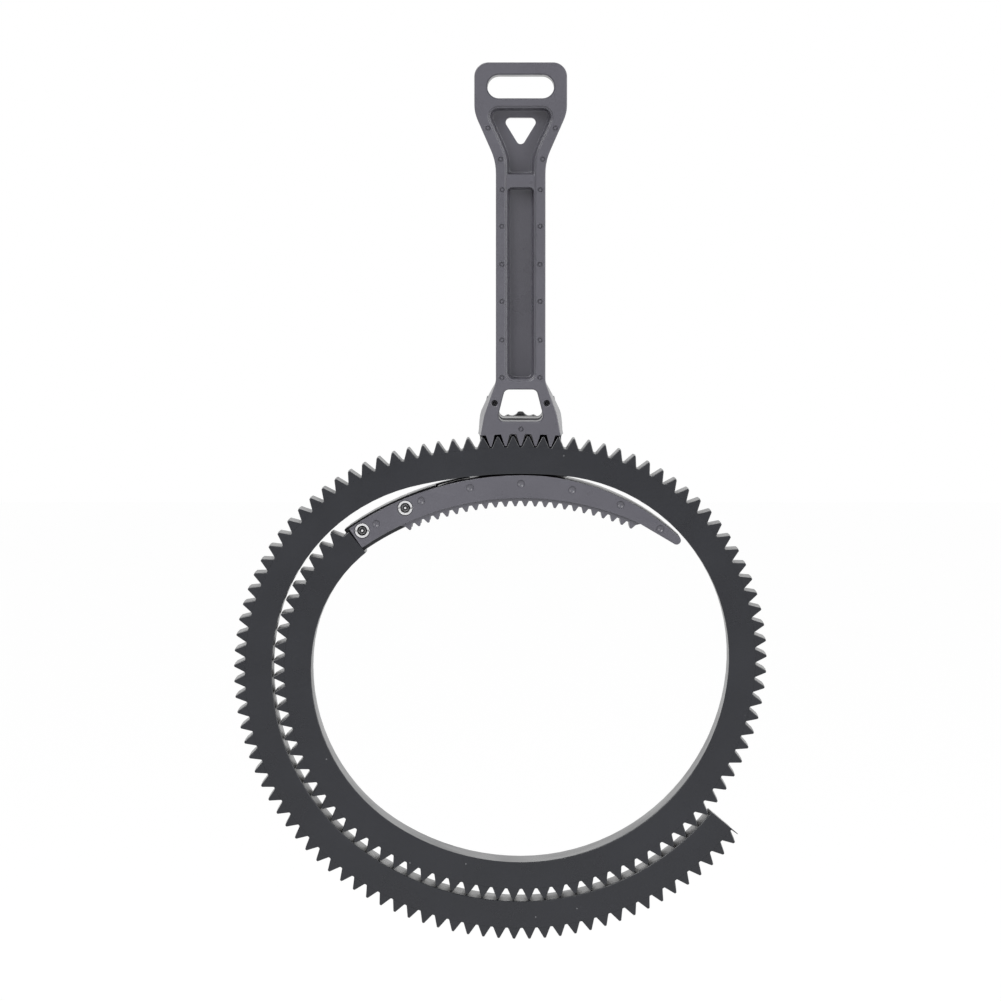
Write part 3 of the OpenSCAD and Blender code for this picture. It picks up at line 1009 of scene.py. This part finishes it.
@dataclass
class GearBelt:
    """The moulded belt with its teeth, its end tab and its cut free end.

    The end cut is a share of a pitch, the end's lean a length over the width, and the tab's turns
    are the degrees by which it passes the saddle's angles.
    """

    path: BeltPath = field(default_factory=BeltPath)
    width: float = 10.0
    body_t: float = 4.7
    valley_half_w: float = 0.2
    inner_valleys: int = 82
    outer_teeth: int = 71
    end_cut: float = 0.1
    edge_round: float = 0.12
    tip_round: float = 0.11
    root_round: float = 0.1
    draft: float = 0.07
    end_lean: float = 0.45
    fin_h: float = 1.3
    fin_t: float = 0.22
    fin_taper: Place = (0.6, 1.0, 0.98)
    tab_turns: Point = (1.0, 6.5)
    tab_step: float = 0.5
    screw_hole_r: float = 0.85

    def depth(self, height: float) -> float:
        """Returns the strip's Y at a height over the inner face."""
        return BELT.pitch_line_h - height

    def tooth(self) -> Piece:
        """Models one pitch of the belt as a straight strip along X with its width along Z.

        Returns:
            The strip, open at both ends.
        """
        p, v = BELT.pitch, self.valley_half_w
        half, full = self.width / 2, self.body_t + BELT.tooth_h
        root, tip = self.depth(self.body_t), self.depth(full)
        deselect()
        middle = (p / 2, self.depth(self.body_t / 2), 0.0)
        bpy.ops.mesh.primitive_cube_add(size=1.0, location=middle)
        strip = bpy.context.active_object
        strip.name = strip.data.name = "gear_belt_moulded"
        strip.scale = (p, self.body_t, self.width)
        bpy.ops.object.transform_apply(location=True, rotation=False, scale=True)
        with editing(strip, "FACE"):
            for x in (v, p - v):
                bpy.ops.mesh.select_all(action="SELECT")
                bpy.ops.mesh.bisect(plane_co=(x, 0, 0), plane_no=(1, 0, 0), threshold=CUT_SLACK)
            pick(strip, "faces", face_at(lambda c: near(c.y, root) and near(c.x, p / 2, 0.2)))
            extrude(0, tip - root)
            resize((BELT.tip_half_w / (p / 2 - v), 1, 1), (p / 2, tip, 0))
            pick(strip, "faces", face_at(lambda c: near(c.x, 0.0) or near(c.x, p)))
            bpy.ops.mesh.delete(type="FACE")
        with editing(strip, "EDGE"):
            for width, end in (
                (self.tip_round, lambda c: near(c.y, tip)),
                (self.root_round, lambda c: near(c.y, root) and 0.01 < c.x < p - 0.01),
            ):
                pick(strip, "edges", edge_at(end, lambda m: near(m.z, 0.0)))
                bpy.ops.mesh.bevel(offset=width, segments=BEVEL_STEPS, affect="EDGES")
        soften_where(strip, self.edge_round, lambda c: near(abs(c.z), half))
        with editing(strip, "EDGE"):
            bpy.ops.mesh.select_all(action="SELECT")
            bpy.ops.mesh.bisect(plane_co=(0, 0, 0), plane_no=(0, 0, 1), threshold=CUT_SLACK)
            middle = (p / 2, self.depth(full / 2), 0)
            pick(strip, "verts", lambda c: abs(c.co.z) > half / 2)
            resize((1, 1 - 2 * self.draft / full, 1), middle)
            pick(
                strip,
                "verts",
                lambda c: abs(c.co.z) > half / 2 and v < c.co.x < p - v and c.co.y < root - 0.1,
            )
            resize((1 - self.draft / (p / 2 - v), 1, 1), middle)
        return strip

    def extend(self, strip: Piece, end: float, steps: Sequence[float]) -> None:
        """Lengthens the strip at an open end and closes it.

        Args:
            strip: The strip.
            end: X of the open end.
            steps: Lengths to add one after the other.
        """
        with editing(strip, "EDGE"):
            pick(strip, "edges", edge_at(lambda c: near(c.x, end)))
            for step in steps:
                extrude(step, 0)
            bpy.ops.mesh.edge_face_add()

    def strip(self) -> Piece:
        """Models the whole belt straight: teeth in a row, plain inner end, fin at the free end.

        Returns:
            The closed strip.
        """
        strip = self.tooth()
        count = self.inner_valleys + self.outer_teeth
        apply_modifier(
            strip,
            "ARRAY",
            count=count,
            use_relative_offset=False,
            use_constant_offset=True,
            constant_offset_displace=(BELT.pitch, 0.0, 0.0),
            use_merge_vertices=True,
            merge_threshold=0.004,
        )
        end = count * BELT.pitch
        first = self.path.crest - self.inner_valleys * BELT.pitch
        self.extend(strip, 0.0, [-first])
        plain = self.end_cut * BELT.pitch
        self.extend(strip, end, [plain - self.fin_t, self.fin_t])
        root = self.depth(self.body_t)
        with editing(strip, "FACE"):
            fin = face_at(
                lambda c: c.x > end + plain - self.fin_t and near(c.y, root, 0.12),
                lambda n: n.y < -0.9,
            )
            pick(strip, "faces", fin)
            extrude(0, -self.fin_h)
            resize(self.fin_taper, (end + plain, root - self.fin_h, 0))
            bpy.ops.mesh.select_all(action="SELECT")
            bpy.ops.mesh.bisect(
                plane_co=(end + plain - 0.02, 0, self.width / 2),
                plane_no=(1, 0, -self.end_lean / self.width),
                use_fill=True,
                clear_outer=True,
            )
            turn_outward()
            bpy.ops.transform.translate(value=(first, 0, 0))
        return strip

    def bend(self, strip: Piece) -> None:
        """Winds the straight strip along the path and stands it up.

        Args:
            strip: The straight strip.
        """
        guide = self.path.guide()
        apply_modifier(strip, "CURVE", object=guide, deform_axis="POS_X")
        bpy.data.objects.remove(guide)
        strip.rotation_euler = (math.radians(90.0), 0.0, 0.0)
        pick_up(strip)
        bpy.ops.object.transform_apply(location=False, rotation=True, scale=False)

    def tab(self, saddle: "LensSaddle") -> Piece:
        """Models the smooth end tab that the saddle's cheeks hold.

        Args:
            saddle: The saddle that the tab lies in.

        Returns:
            The tab, with the screws' holes.
        """
        centre, low = saddle.centre, saddle.tab_r + saddle.tab_bare
        left, right = saddle.left_a + self.tab_turns[0], saddle.tab_a + self.tab_turns[1]
        inner = arc(centre, low, left, right)
        inner.append(polar(centre, low + self.tab_step, saddle.tab_a))
        outline = anticlockwise(inner + arc(centre, saddle.tab_top_r, saddle.tab_a, left))
        tab = slab("belt_tab", no_repeats(outline), LEVELS.tab_front, LEVELS.back)
        ends = [(self.screw_hole_r, depth) for depth in (LEVELS.front + 1, LEVELS.back + 2)]
        for screw in BELT.screws:
            cut(tab, lathe("hole", screw, ends, count=24))
        soften(tab, self.edge_round)
        return tab

    def build(self, saddle: "LensSaddle") -> None:
        """Models, winds and dresses the belt.

        Args:
            saddle: The saddle that its end tab lies in.
        """
        strip = self.strip()
        self.bend(strip)
        belt = joined([strip, self.tab(saddle)])
        finished(belt, Body.RING, CHARCOAL_ELASTOMER, ["gear_belt"])


@dataclass
class LensSaddle:
    """The curved saddle with its grip teeth, its cheeks and its upright wall."""

    tab_r: float = 47.4
    tab_bare: float = 0.35
    tab_top_r: float = 52.6
    tab_reach: float = 13.46
    centre: Point = (0.27, -21.6049)
    left_a: float = 124.49
    edge_round: float = 0.1
    screw_clear_r: float = 1.8
    prong: Point = (5.05, 43.9)
    prong_size: Point = (2.0, 3.0)
    mark_profile: tuple[Point, ...] = ((0.7, -1.0), (0.7, -0.02), (0.63, 0.2), (0.04, 0.26))
    marks: tuple[Point, ...] = (
        (-24.7, 22.4), (-17.0, 26.35), (-8.65, 28.55), (0.07, 29.25), (8.8, 28.2), (17.1, 25.65),
        (23.9, 21.55),
    )

    @property
    def tab_a(self) -> float:
        """Angle at which the belt's end tab stops."""
        return 90.0 + math.degrees(math.asin(self.tab_reach / self.tab_r))

    def open_place(self, corner: Vector) -> bool:
        """Tells whether a corner lies clear of the screws and of the plane behind the saddle."""
        gaps = (math.dist((corner.x, corner.z), screw) for screw in BELT.screws)
        return not near(corner.y, LEVELS.wall_front, 0.03) and min(gaps) > self.screw_clear_r

    def build(self) -> None:
        """Models and dresses the saddle."""
        saddle = copied("lens_saddle", "lens_saddle_moulded")
        soften_where(saddle, self.edge_round, self.open_place)
        (x, z), (w, h) = self.prong, self.prong_size
        front, back = LEVELS.wall_front - 1, LEVELS.wall_back + 1
        for side in (-1.0, 1.0):
            inner, outer = side * x, side * (x + w)
            corners = [(inner, z), (outer, z), (outer, z + h), (inner, z + h)]
            cut(saddle, slab("prong", anticlockwise(corners), front, back))
        press_marks(saddle, self.marks, self.mark_profile)
        finished(saddle, Body.RING, GREY_PLASTIC, ["lens_saddle"])


@dataclass
class TabScrews:
    """The two screws through the belt's end tab, with their nuts.

    The profile's (radius, depth) steps run from the plain shank's end over the bright rim and the
    sunk disc to the socket. The notches in the rim narrow in (half width, depth) steps.
    """

    profile: tuple[Point, ...] = (
        (0.68, 8.15), (0.8, 8.03), (0.8, -3.7), (1.25, -3.7), (1.3, -3.75), (1.3, -4.78),
        (1.26, -4.87), (1.22, -4.9), (0.86, -4.9), (0.74, -4.35), (0.62, -4.78), (0.34, -4.44),
        (0.25, -4.25), (0.18, -4.7), (0.05, -4.72),
    )
    socket: Point = (0.2, 0.86)
    notch_x: float = 1.2
    notch_reach: Point = (-0.35, 0.3)
    notch: tuple[Point, ...] = ((0.3, -5.4), (0.15, -4.9), (0.02, -4.45))

    def screw(self, name: str, place: Point) -> Piece:
        """Models one screw.

        Args:
            name: Name of the new piece.
            place: Its axis.

        Returns:
            The screw.
        """
        screw = lathe(name, place, self.profile)
        for side in (-1.0, 1.0):
            x, z = place[0] + side * self.notch_x, place[1]
            left, right = (x + reach for reach in self.notch_reach)
            rings = [
                at_depth([(left, z - w), (right, z - w), (right, z + w), (left, z + w)], y)
                for w, y in self.notch
            ]
            cut(screw, loft("notch", rings))
        return screw

    def build(self) -> None:
        """Models and dresses the screws and dresses the nuts."""
        for side, place in zip(("lower", "upper"), BELT.screws):
            finish = bright_steel(f"bright_screw_steel_{side}", place, self.socket)
            piece = self.screw(f"tab_screw_{side}_turned", place)
            finished(piece, Body.RING, finish, [f"tab_screw_{side}"])
            dress_node(f"tab_nut_{side}", finish)


@dataclass
class Lever:
    """The lever: slotted head, ribbed shaft and toothed foot, with its tongue behind the belt.

    An outline's corners end with their fillet radius. Before it stands the drop under the lever's
    top, but for the waist, the window and the pins the rise over the teeth's roots, and for the
    low recess corner the rise over the neck. The first of three numbers is a half width, or for
    the waist and the high recess corner the way in from the side. The rib has two drops.
    """

    crest_z: float = 30.8827
    belt_t: float = 6.6
    foot_gap: float = 0.15
    foot_h: float = 9.0
    tooth_foot: float = 0.3
    root_relief: float = 0.1
    length: float = 63.45
    head_w: float = 15.8
    shaft_w: float = 8.46
    shoulder: Point = (16.8, 10.0)
    head_low: Point = (8.5, 6.0)
    top_round: float = 2.4
    foot_w: float = 13.7
    foot_teeth: int = 5
    waist: Corner = (0.62, 3.3, 8.0)
    neck_round: float = 4.0
    side_step: float = 0.8
    flare_steps: int = 4
    recess_depth: float = 3.0
    recess_half_w: float = 2.6
    recess_low: Point = (0.15, 1.5)
    recess_bend: Point = (15.9, 9.0)
    recess_high: Corner = (1.35, 7.42, 1.8)
    rib: Point = (19.1, 21.2)
    rib_round: float = 1.1
    recess_draft: float = 0.3
    floor_round: float = 0.35
    lip_depth: float = 0.3
    lip_w: float = 0.28
    slot_h: float = 4.0
    slot_len: float = 11.4
    slot_mouth: float = 0.25
    slot_drop: float = 4.1
    triangle_tip: Point = (14.5, 0.75)
    triangle_base: Corner = (3.2, 9.3, 0.8)
    pin_at: Point = (4.45, 5.42)
    pin_hole_r: float = 0.52
    clamp_h: float = 5.0
    clamp_bore_r: float = 1.35
    clamp_nut_af: float = 5.1
    clamp_nut_t: float = 2.0
    edge_round: float = 0.12
    mark_profile: tuple[Point, ...] = (
        (0.47, -1.0), (0.47, -0.02), (0.41, 0.2), (0.28, 0.2), (0.22, 0.05), (0.04, 0.05),
    )
    marks: tuple[Point, ...] = (
        (-5.57, 89.9), (5.88, 89.9), (-3.42, 84.6), (3.75, 84.6), (-3.15, 79.4), (3.35, 79.4),
        *((x, z) for z in (73.2, 66.7, 60.4, 53.8, 47.4) for x in (-3.2, 3.3)), (0.07, 38.6),
    )
    flare: tuple[Point, ...] = (
        (37.0, 0.5), (38.1, 0.5), (39.7, 0.68), (41.4, 0.8), (43.0, 0.62), (44.8, 0.36),
        (46.4, 0.0),
    )
    window_sill: Corner = (4.0, 2.3, 0.95)
    window_lintel: Corner = (2.65, 7.65, 0.9)
    window_steps: tuple[Place, ...] = (
        (-6.0, 0.3, 0.0), (-5.0, 0.3, 0.0), (-4.88, 0.16, 0.02), (-4.7, 0.08, 0.05),
        (-0.1, 0.04, 0.2), (0.1, 0.04, 0.4), (5.3, 0.0, 0.5),
    )

    @property
    def foot_z(self) -> float:
        """Height of the roots of the foot teeth."""
        return self.crest_z + self.belt_t + self.foot_gap

    @property
    def top(self) -> float:
        """Height of the lever's top."""
        return self.foot_z + self.length

    @property
    def top_c(self) -> Point:
        """Centre of the arc that the foot's teeth follow."""
        return 0.0, self.crest_z - BELT.top_r

    @property
    def neck_z(self) -> float:
        """Height at which the foot runs into the shaft."""
        return self.foot_z + self.foot_h

    @property
    def clamp_at(self) -> Point:
        """Axis of the clamp stud."""
        return 0.0, self.crest_z + self.clamp_h

    @property
    def root_r(self) -> float:
        """Radius of the arc through the roots of the foot's teeth."""
        return self.foot_z + self.root_relief - self.top_c[1]

    def foot_corner(self, x: float) -> float:
        """Returns the height of the foot's root arc at a distance from the centre line."""
        return self.top_c[1] + math.sqrt(self.root_r**2 - x**2)

    def flared(self, points: Sequence[Point], share: float) -> list[Point]:
        """Moves the sides of the foot out.

        Args:
            points: The lever's outline.
            share: The share of the full flare, from 0 to 1.

        Returns:
            The outline with the same number of points.
        """
        result: list[Point] = []
        for x, z in points:
            out = 0.0
            for (z0, f0), (z1, f1) in zip(self.flare, self.flare[1:]):
                if z0 <= z <= z1:
                    out = f0 + (f1 - f0) * (z - z0) / (z1 - z0)
            if abs(x) < self.foot_w / 2 - 0.2 and z < self.foot_z + 0.4:
                out = 0.0
            result.append((x + math.copysign(out * share, x), z))
        return result

    def teeth(self) -> list[Point]:
        """Draws the edge of the foot's teeth.

        Returns:
            The points from right to left.
        """
        root_r, tip_r = self.root_r, self.foot_z - BELT.tooth_h - self.top_c[1]
        step = math.degrees(BELT.pitch / (BELT.top_r + BELT.pitch_line_h))
        foot_a = math.degrees(BELT.pitch * self.tooth_foot / root_r)
        tip_a = math.degrees(BELT.tip_half_w / root_r)
        tooth = ((root_r, foot_a), (tip_r, tip_a), (tip_r, -tip_a), (root_r, -foot_a))
        return [
            polar(self.top_c, radius, 90.0 - i * step + turn)
            for i in range(-(self.foot_teeth // 2), self.foot_teeth // 2 + 1)
            for radius, turn in tooth
        ]

    def body(self) -> Piece:
        """Models the front body, whose foot flares out to the rear.

        Returns:
            The body, without its recesses and holes.
        """
        foot, shaft, head = self.foot_w / 2, self.shaft_w / 2, self.head_w / 2
        slim, rise, rounding = self.waist
        side = [
            (foot, self.foot_corner(foot), 0.0), (foot - slim, self.foot_z + rise, rounding),
            (shaft, self.neck_z, self.neck_round),
            (shaft, self.top - self.shoulder[0], self.shoulder[1]),
            (head, self.top - self.head_low[0], self.head_low[1]),
            (head, self.top, self.top_round),
        ]
        outline = no_repeats(self.teeth() + filleted(mirrored(side), 5.0))
        outline = anticlockwise(subdivided(outline, self.side_step))
        front, thick = LEVELS.front, LEVELS.tongue_front - LEVELS.front
        rings: list[Ring] = []
        for k in range(self.flare_steps + 1):
            flared = self.flared(outline, k / self.flare_steps)
            rings.append(at_depth(flared, front + thick * k / self.flare_steps))
        return loft("lever_moulded", rings)

    def tongue(self) -> Piece:
        """Models the tongue that reaches down behind the belt.

        Returns:
            The tongue, without its window and bores.
        """
        foot, shaft = self.foot_w / 2, self.shaft_w / 2
        corner = self.foot_corner(foot) + 0.1
        side = [
            (foot + 0.15, self.crest_z + 0.5, 1.5), (foot + 0.15, corner - 0.6, 0.0),
            (foot + 0.35, corner, 0.0), (foot - 0.17, self.foot_z + 3.8, 6.0),
            (shaft - 0.08, self.neck_z - 0.2, 2.0), (shaft - 0.08, self.neck_z + 2.5, 1.5),
        ]
        outline = anticlockwise(no_repeats(filleted(mirrored(side), 6.0)))
        return slab("tongue", outline, LEVELS.tongue_front - 0.02, LEVELS.tongue_back)

    def recess(
        self, corners: Sequence[Corner], face: float, depth: float, draft: float, rounding: float
    ) -> Piece:
        """Models the cutter of a drafted recess with a rounded floor.

        Args:
            corners: The corners of the recess at the lever's face.
            face: Depth of the face.
            depth: How deep it goes, negative towards the front.
            draft: How far its walls lean in.
            rounding: Radius between its walls and its floor.

        Returns:
            The cutter.
        """
        way = math.copysign(1.0, depth)
        steps = [(-way, 0.0), (0.0, 0.0), (depth - way * rounding, draft)]
        for turn in (22.5, 45.0, 67.5, 90.0) if rounding else ():
            across, down = unit(turn)
            steps.append((depth - way * rounding * (1 - down), draft + rounding * (1 - across)))
        rings = [
            at_depth(filleted(inset_corners(corners, lean)), face + level) for level, lean in steps
        ]
        return loft("recess", rings)

    def window(self, steps: Sequence[Place]) -> Piece:
        """Models the cutter of the foot's window.

        Args:
            steps: Its (depth, widening, rise of the sill) steps.

        Returns:
            The cutter.
        """
        (low_w, low_z, low_r), (high_w, high_z, high_r) = self.window_sill, self.window_lintel
        rings: list[Ring] = []
        for y, out, rise in steps:
            sill = (low_w + out, self.foot_z + low_z - out + rise, low_r + out)
            lintel = (high_w + out, self.foot_z + high_z + out, high_r + out)
            rings.append(at_depth(filleted(mirrored([sill, lintel])), y))
        return loft("window", rings)

    def hole(self, piece: Piece, centre: Point, radius: float) -> None:
        """Bores a hole along Y right through a piece."""
        ends = [(radius, LEVELS.front - 1), (radius, LEVELS.tongue_back + 1)]
        cut(piece, lathe("hole", centre, ends, count=32))

    def cut_recesses(self, body: Piece) -> None:
        """Cuts the recesses of the head and the shaft into both faces, inside a low front lip.

        Args:
            body: The lever's front body.
        """
        half, (wall, drop, rounding) = self.recess_half_w, self.recess_high
        low = (half, self.neck_z + self.recess_low[0], self.recess_low[1])
        bend = (half, self.top - self.recess_bend[0], self.recess_bend[1])
        high = (self.head_w / 2 - wall, self.top - drop, rounding)
        lip = mirrored([low, bend, high])
        cut(body, self.recess(lip, LEVELS.front, self.lip_depth, 0.0, 0.0))
        for corners in (
            mirrored([(half, self.top - self.rib[0] - self.lip_w, 0.0), bend, high]),
            mirrored([low, (half, self.top - self.rib[1] + self.lip_w, self.rib_round)]),
        ):
            inner = inset_corners(corners, self.lip_w)
            for face, way in ((LEVELS.front, 1.0), (LEVELS.tongue_front, -1.0)):
                depth = way * self.recess_depth
                cut(body, self.recess(inner, face, depth, self.recess_draft, self.floor_round))

    def cut_head(self, body: Piece) -> None:
        """Cuts the triangle and the slot with its rounded mouths through the head.

        Args:
            body: The lever's front body.
        """
        front, back = LEVELS.front, LEVELS.tongue_front
        (tip_drop, tip_r), (base_x, base_drop, base_r) = self.triangle_tip, self.triangle_base
        triangle = [(0.0, self.top - tip_drop, tip_r)]
        triangle += [(x, self.top - base_drop, base_r) for x in (base_x, -base_x)]
        cut(body, slab("triangle", filleted(triangle), front, back))
        reach, z = (self.slot_len - self.slot_h) / 2, self.top - self.slot_drop
        out = self.slot_mouth
        mouth = ((-1.0, out), (0.0, out), (0.1, out * 0.5), (0.3, 0.0))
        steps = [(front + deep, wider) for deep, wider in mouth]
        steps += [(back - deep, wider) for deep, wider in reversed(mouth)]
        rings: list[Ring] = []
        for y, wider in steps:
            half = self.slot_h / 2 + wider
            stadium = arc((reach, z), half, -90, 90, 8) + arc((-reach, z), half, 90, 270, 8)
            rings.append(at_depth(stadium, y))
        cut(body, loft("slot", rings))

    def cut_clamp(self, tongue: Piece) -> None:
        """Cuts the window, the clamp nut's pocket and the stud's bore into the tongue.

        Args:
            tongue: The lever's tongue.
        """
        sill = self.window_steps[-1][2] + 0.05
        ends = (LEVELS.back - 1, LEVELS.tongue_back + 1)
        cut(tongue, self.window([(y, 0.0, sill) for y in ends]))
        nut_r = self.clamp_nut_af / 2 / math.cos(math.radians(30))
        ends = (LEVELS.tongue_front - 1, LEVELS.tongue_front + self.clamp_nut_t)
        cut(tongue, loft("pocket", [circle(self.clamp_at, nut_r, y, count=6) for y in ends]))
        self.hole(tongue, self.clamp_at, self.clamp_bore_r)

    def build(self) -> None:
        """Models and dresses the lever."""
        body, tongue = self.body(), self.tongue()
        pin_x, pin_h = self.pin_at
        self.cut_recesses(body)
        self.cut_clamp(tongue)
        for piece in (body, tongue):
            for side in (-1, 1):
                self.hole(piece, (side * pin_x, self.foot_z + pin_h), self.pin_hole_r)
            soften(piece, self.edge_round)
        self.cut_head(body)
        cut(body, self.window(self.window_steps))
        combine(body, tongue, "UNION")
        press_marks(body, self.marks, self.mark_profile)
        finished(body, Body.LEVER, GREY_PLASTIC, ["lever_handle"])


@dataclass
class GuidePins:
    """The two dowel pins in the foot, whose (radius, depth) steps run from rear to front."""

    x: float = 4.45
    z: float = 43.0527
    colour: Colour = (0.05, 0.05, 0.055)
    roughness: float = 0.34
    profile: tuple[Point, ...] = (
        (0.36, 10.55), (0.5, 10.41), (0.5, -4.7), (0.42, -4.9), (0.34, -4.88), (0.16, -4.6),
        (0.12, -4.7), (0.04, -4.72),
    )

    def build(self) -> None:
        """Models and dresses the pins."""
        for name, x in (("left", -self.x), ("right", self.x)):
            place = (x, self.z)
            pin = lathe(f"guide_pin_{name}_turned", place, self.profile, count=32)
            steel = f"dark_pin_steel_{name}"
            finish = TurnedMetalFinish(steel, self.colour, self.roughness, place)
            finished(pin, Body.LEVER, finish, [f"guide_pin_{name}"])


@dataclass
class ClampSet:
    """The clamp behind the belt: nut, washer, stud and fluted knob."""

    axis: Point = (0.0, 35.8827)
    edge_round: float = 0.14

    def build(self) -> None:
        """Models the knob and dresses the metal pieces."""
        steel = bright_steel("bright_clamp_steel", self.axis)
        for node in ("clamp_nut", "clamp_washer", "clamp_stud"):
            dress_node(node, steel)
        knob = copied("clamp_knob", "clamp_knob_moulded")
        soften(knob, self.edge_round)
        finished(knob, Body.KNOB, KNOB_PLASTIC, ["clamp_knob"])


# ---------------------------------------------------------------- studio


@dataclass(frozen=True)
class SoftBox:
    """One square soft light aimed at the object."""

    name: str
    place: Place
    size: float
    power: float


def aimed(name: str, data: bpy.types.ID, place: Place, aim: Place) -> Piece:
    """Adds a camera or a light to the scene and aims it.

    Args:
        name: Name of the new object.
        data: The camera or the light.
        place: Where it stands.
        aim: The point that it faces.

    Returns:
        The object.
    """
    thing = bpy.data.objects.new(name, data)
    bpy.context.scene.collection.objects.link(thing)
    thing.location = place
    thing.rotation_euler = (Vector(aim) - Vector(place)).to_track_quat("-Z", "Y").to_euler()
    return thing


@dataclass
class Studio:
    """Camera, soft lights, pale floor and white surroundings.

    The turns are the Y of a direction at which the glow of the front and the back begins and ends.
    """

    camera_at: Place = (-0.0001, -0.905, 0.0675)
    camera_aim: Place = (-0.00344, -0.005, 0.02641)
    lens: float = 189.6
    sensor: float = 36.0
    clip: Point = (0.05, 20.0)
    aim: Place = (0.0, 0.0, 0.03)
    floor_z: float = -0.25
    floor_size: float = 12.0
    floor_greys: Point = (0.82, 0.86)
    floor_white: float = 0.85
    floor_light: float = 1.1
    front_turn: Point = (-0.15, -0.6)
    back_turn: Point = (0.25, 0.7)
    front_glow: float = 0.4
    side_glow: float = 0.12
    back_glow: float = 1.0
    boxes: tuple[SoftBox, ...] = (
        SoftBox("key_light", (-0.9, -1.2, 1.1), 1.0, 22.0),
        SoftBox("fill_light", (1.1, -1.0, 0.4), 1.0, 11.0),
        SoftBox("top_light", (0.0, -0.5, 1.5), 1.2, 5.0),
    )

    def camera(self) -> None:
        """Sets up the camera at the photograph's view."""
        data = bpy.data.cameras.new("studio_camera")
        data.lens, data.sensor_width = self.lens, self.sensor
        data.clip_start, data.clip_end = self.clip
        bpy.context.scene.camera = aimed("studio_camera", data, self.camera_at, self.camera_aim)

    def lights(self) -> None:
        """Sets up the soft lights."""
        for box in self.boxes:
            data = bpy.data.lights.new(box.name, "AREA")
            data.shape, data.size, data.energy = "SQUARE", box.size, box.power
            aimed(box.name, data, box.place, self.aim)

    @staticmethod
    def seen_white(bench: NodeBench) -> Signal:
        """Finds the rays that see the white surroundings.

        Args:
            bench: The bench of the tree that asks.

        Returns:
            1 for the camera, for glossy rays and for rays through glass, and 0 for others.
        """
        rays = bench.node("ShaderNodeLightPath")
        camera, glossy, through = (
            bench.signal(rays, name)
            for name in ("Is Camera Ray", "Is Glossy Ray", "Is Transmission Ray")
        )
        return bench.maths("MAXIMUM", camera, bench.maths("MAXIMUM", glossy, through))

    def surroundings(self) -> None:
        """Sets up the world: white behind the object, dimmer on the camera's side."""
        world = bpy.data.worlds.new("studio_world")
        bpy.context.scene.world = world
        world.use_nodes = True
        bench = NodeBench(world.node_tree)
        rays = bench.node("ShaderNodeLightPath")
        direction = bench.signal(bench.node("ShaderNodeTexCoord"), "Generated")
        parts = bench.node("ShaderNodeSeparateXYZ", values={"Vector": direction})
        ahead = bench.signal(parts, "Y")
        front = bench.ramp(ahead, *self.front_turn, self.side_glow, self.front_glow)
        back = bench.ramp(ahead, *self.back_turn, self.side_glow, self.back_glow)
        glow = bench.maths("MAXIMUM", front, back)
        strength = bench.maths("MAXIMUM", glow, bench.signal(rays, "Is Camera Ray"))
        values = {"Color": (1, 1, 1, 1), "Strength": strength}
        shader = bench.node("ShaderNodeBackground", values=values)
        bench.node("ShaderNodeOutputWorld", values={"Surface": bench.signal(shader)})

    def floor(self) -> None:
        """Lays the pale floor under the object."""
        deselect()
        bpy.ops.mesh.primitive_plane_add(size=self.floor_size, location=(0.0, 0.0, self.floor_z))
        floor = bpy.context.active_object
        floor.name = "studio_floor"
        material = bpy.data.materials.new("pale_floor")
        material.use_nodes = True
        bench = NodeBench(material.node_tree)
        shade = bench.noise(bench.place(), 3.0, 2.0)
        colour = bench.blend(shade, *((grey,) * 3 for grey in self.floor_greys))
        values = {"Base Color": colour, "Roughness": 0.8}
        matte = bench.signal(bench.node("ShaderNodeBsdfPrincipled", values=values))
        values = {"Color": (1, 1, 1, 1), "Strength": self.floor_light}
        white = bench.signal(bench.node("ShaderNodeEmission", values=values))
        values = {0: self.seen_white(bench) * self.floor_white, 1: matte, 2: white}
        mix = bench.node("ShaderNodeMixShader", values=values)
        bench.node("ShaderNodeOutputMaterial", values={"Surface": bench.signal(mix)})
        floor.data.materials.append(material)

    def build(self) -> None:
        """Sets up the whole studio."""
        self.camera()
        self.lights()
        self.surroundings()
        self.floor()
        bpy.context.scene.view_settings.view_transform = "Standard"


def main() -> None:
    """Builds the studio and every piece."""
    logging.basicConfig(level=logging.INFO, format="%(message)s")
    Studio().build()
    saddle = LensSaddle()
    GearBelt().build(saddle)
    saddle.build()
    TabScrews().build()
    Lever().build()
    GuidePins().build()
    ClampSet().build()


if __name__ == "__main__":
    main()
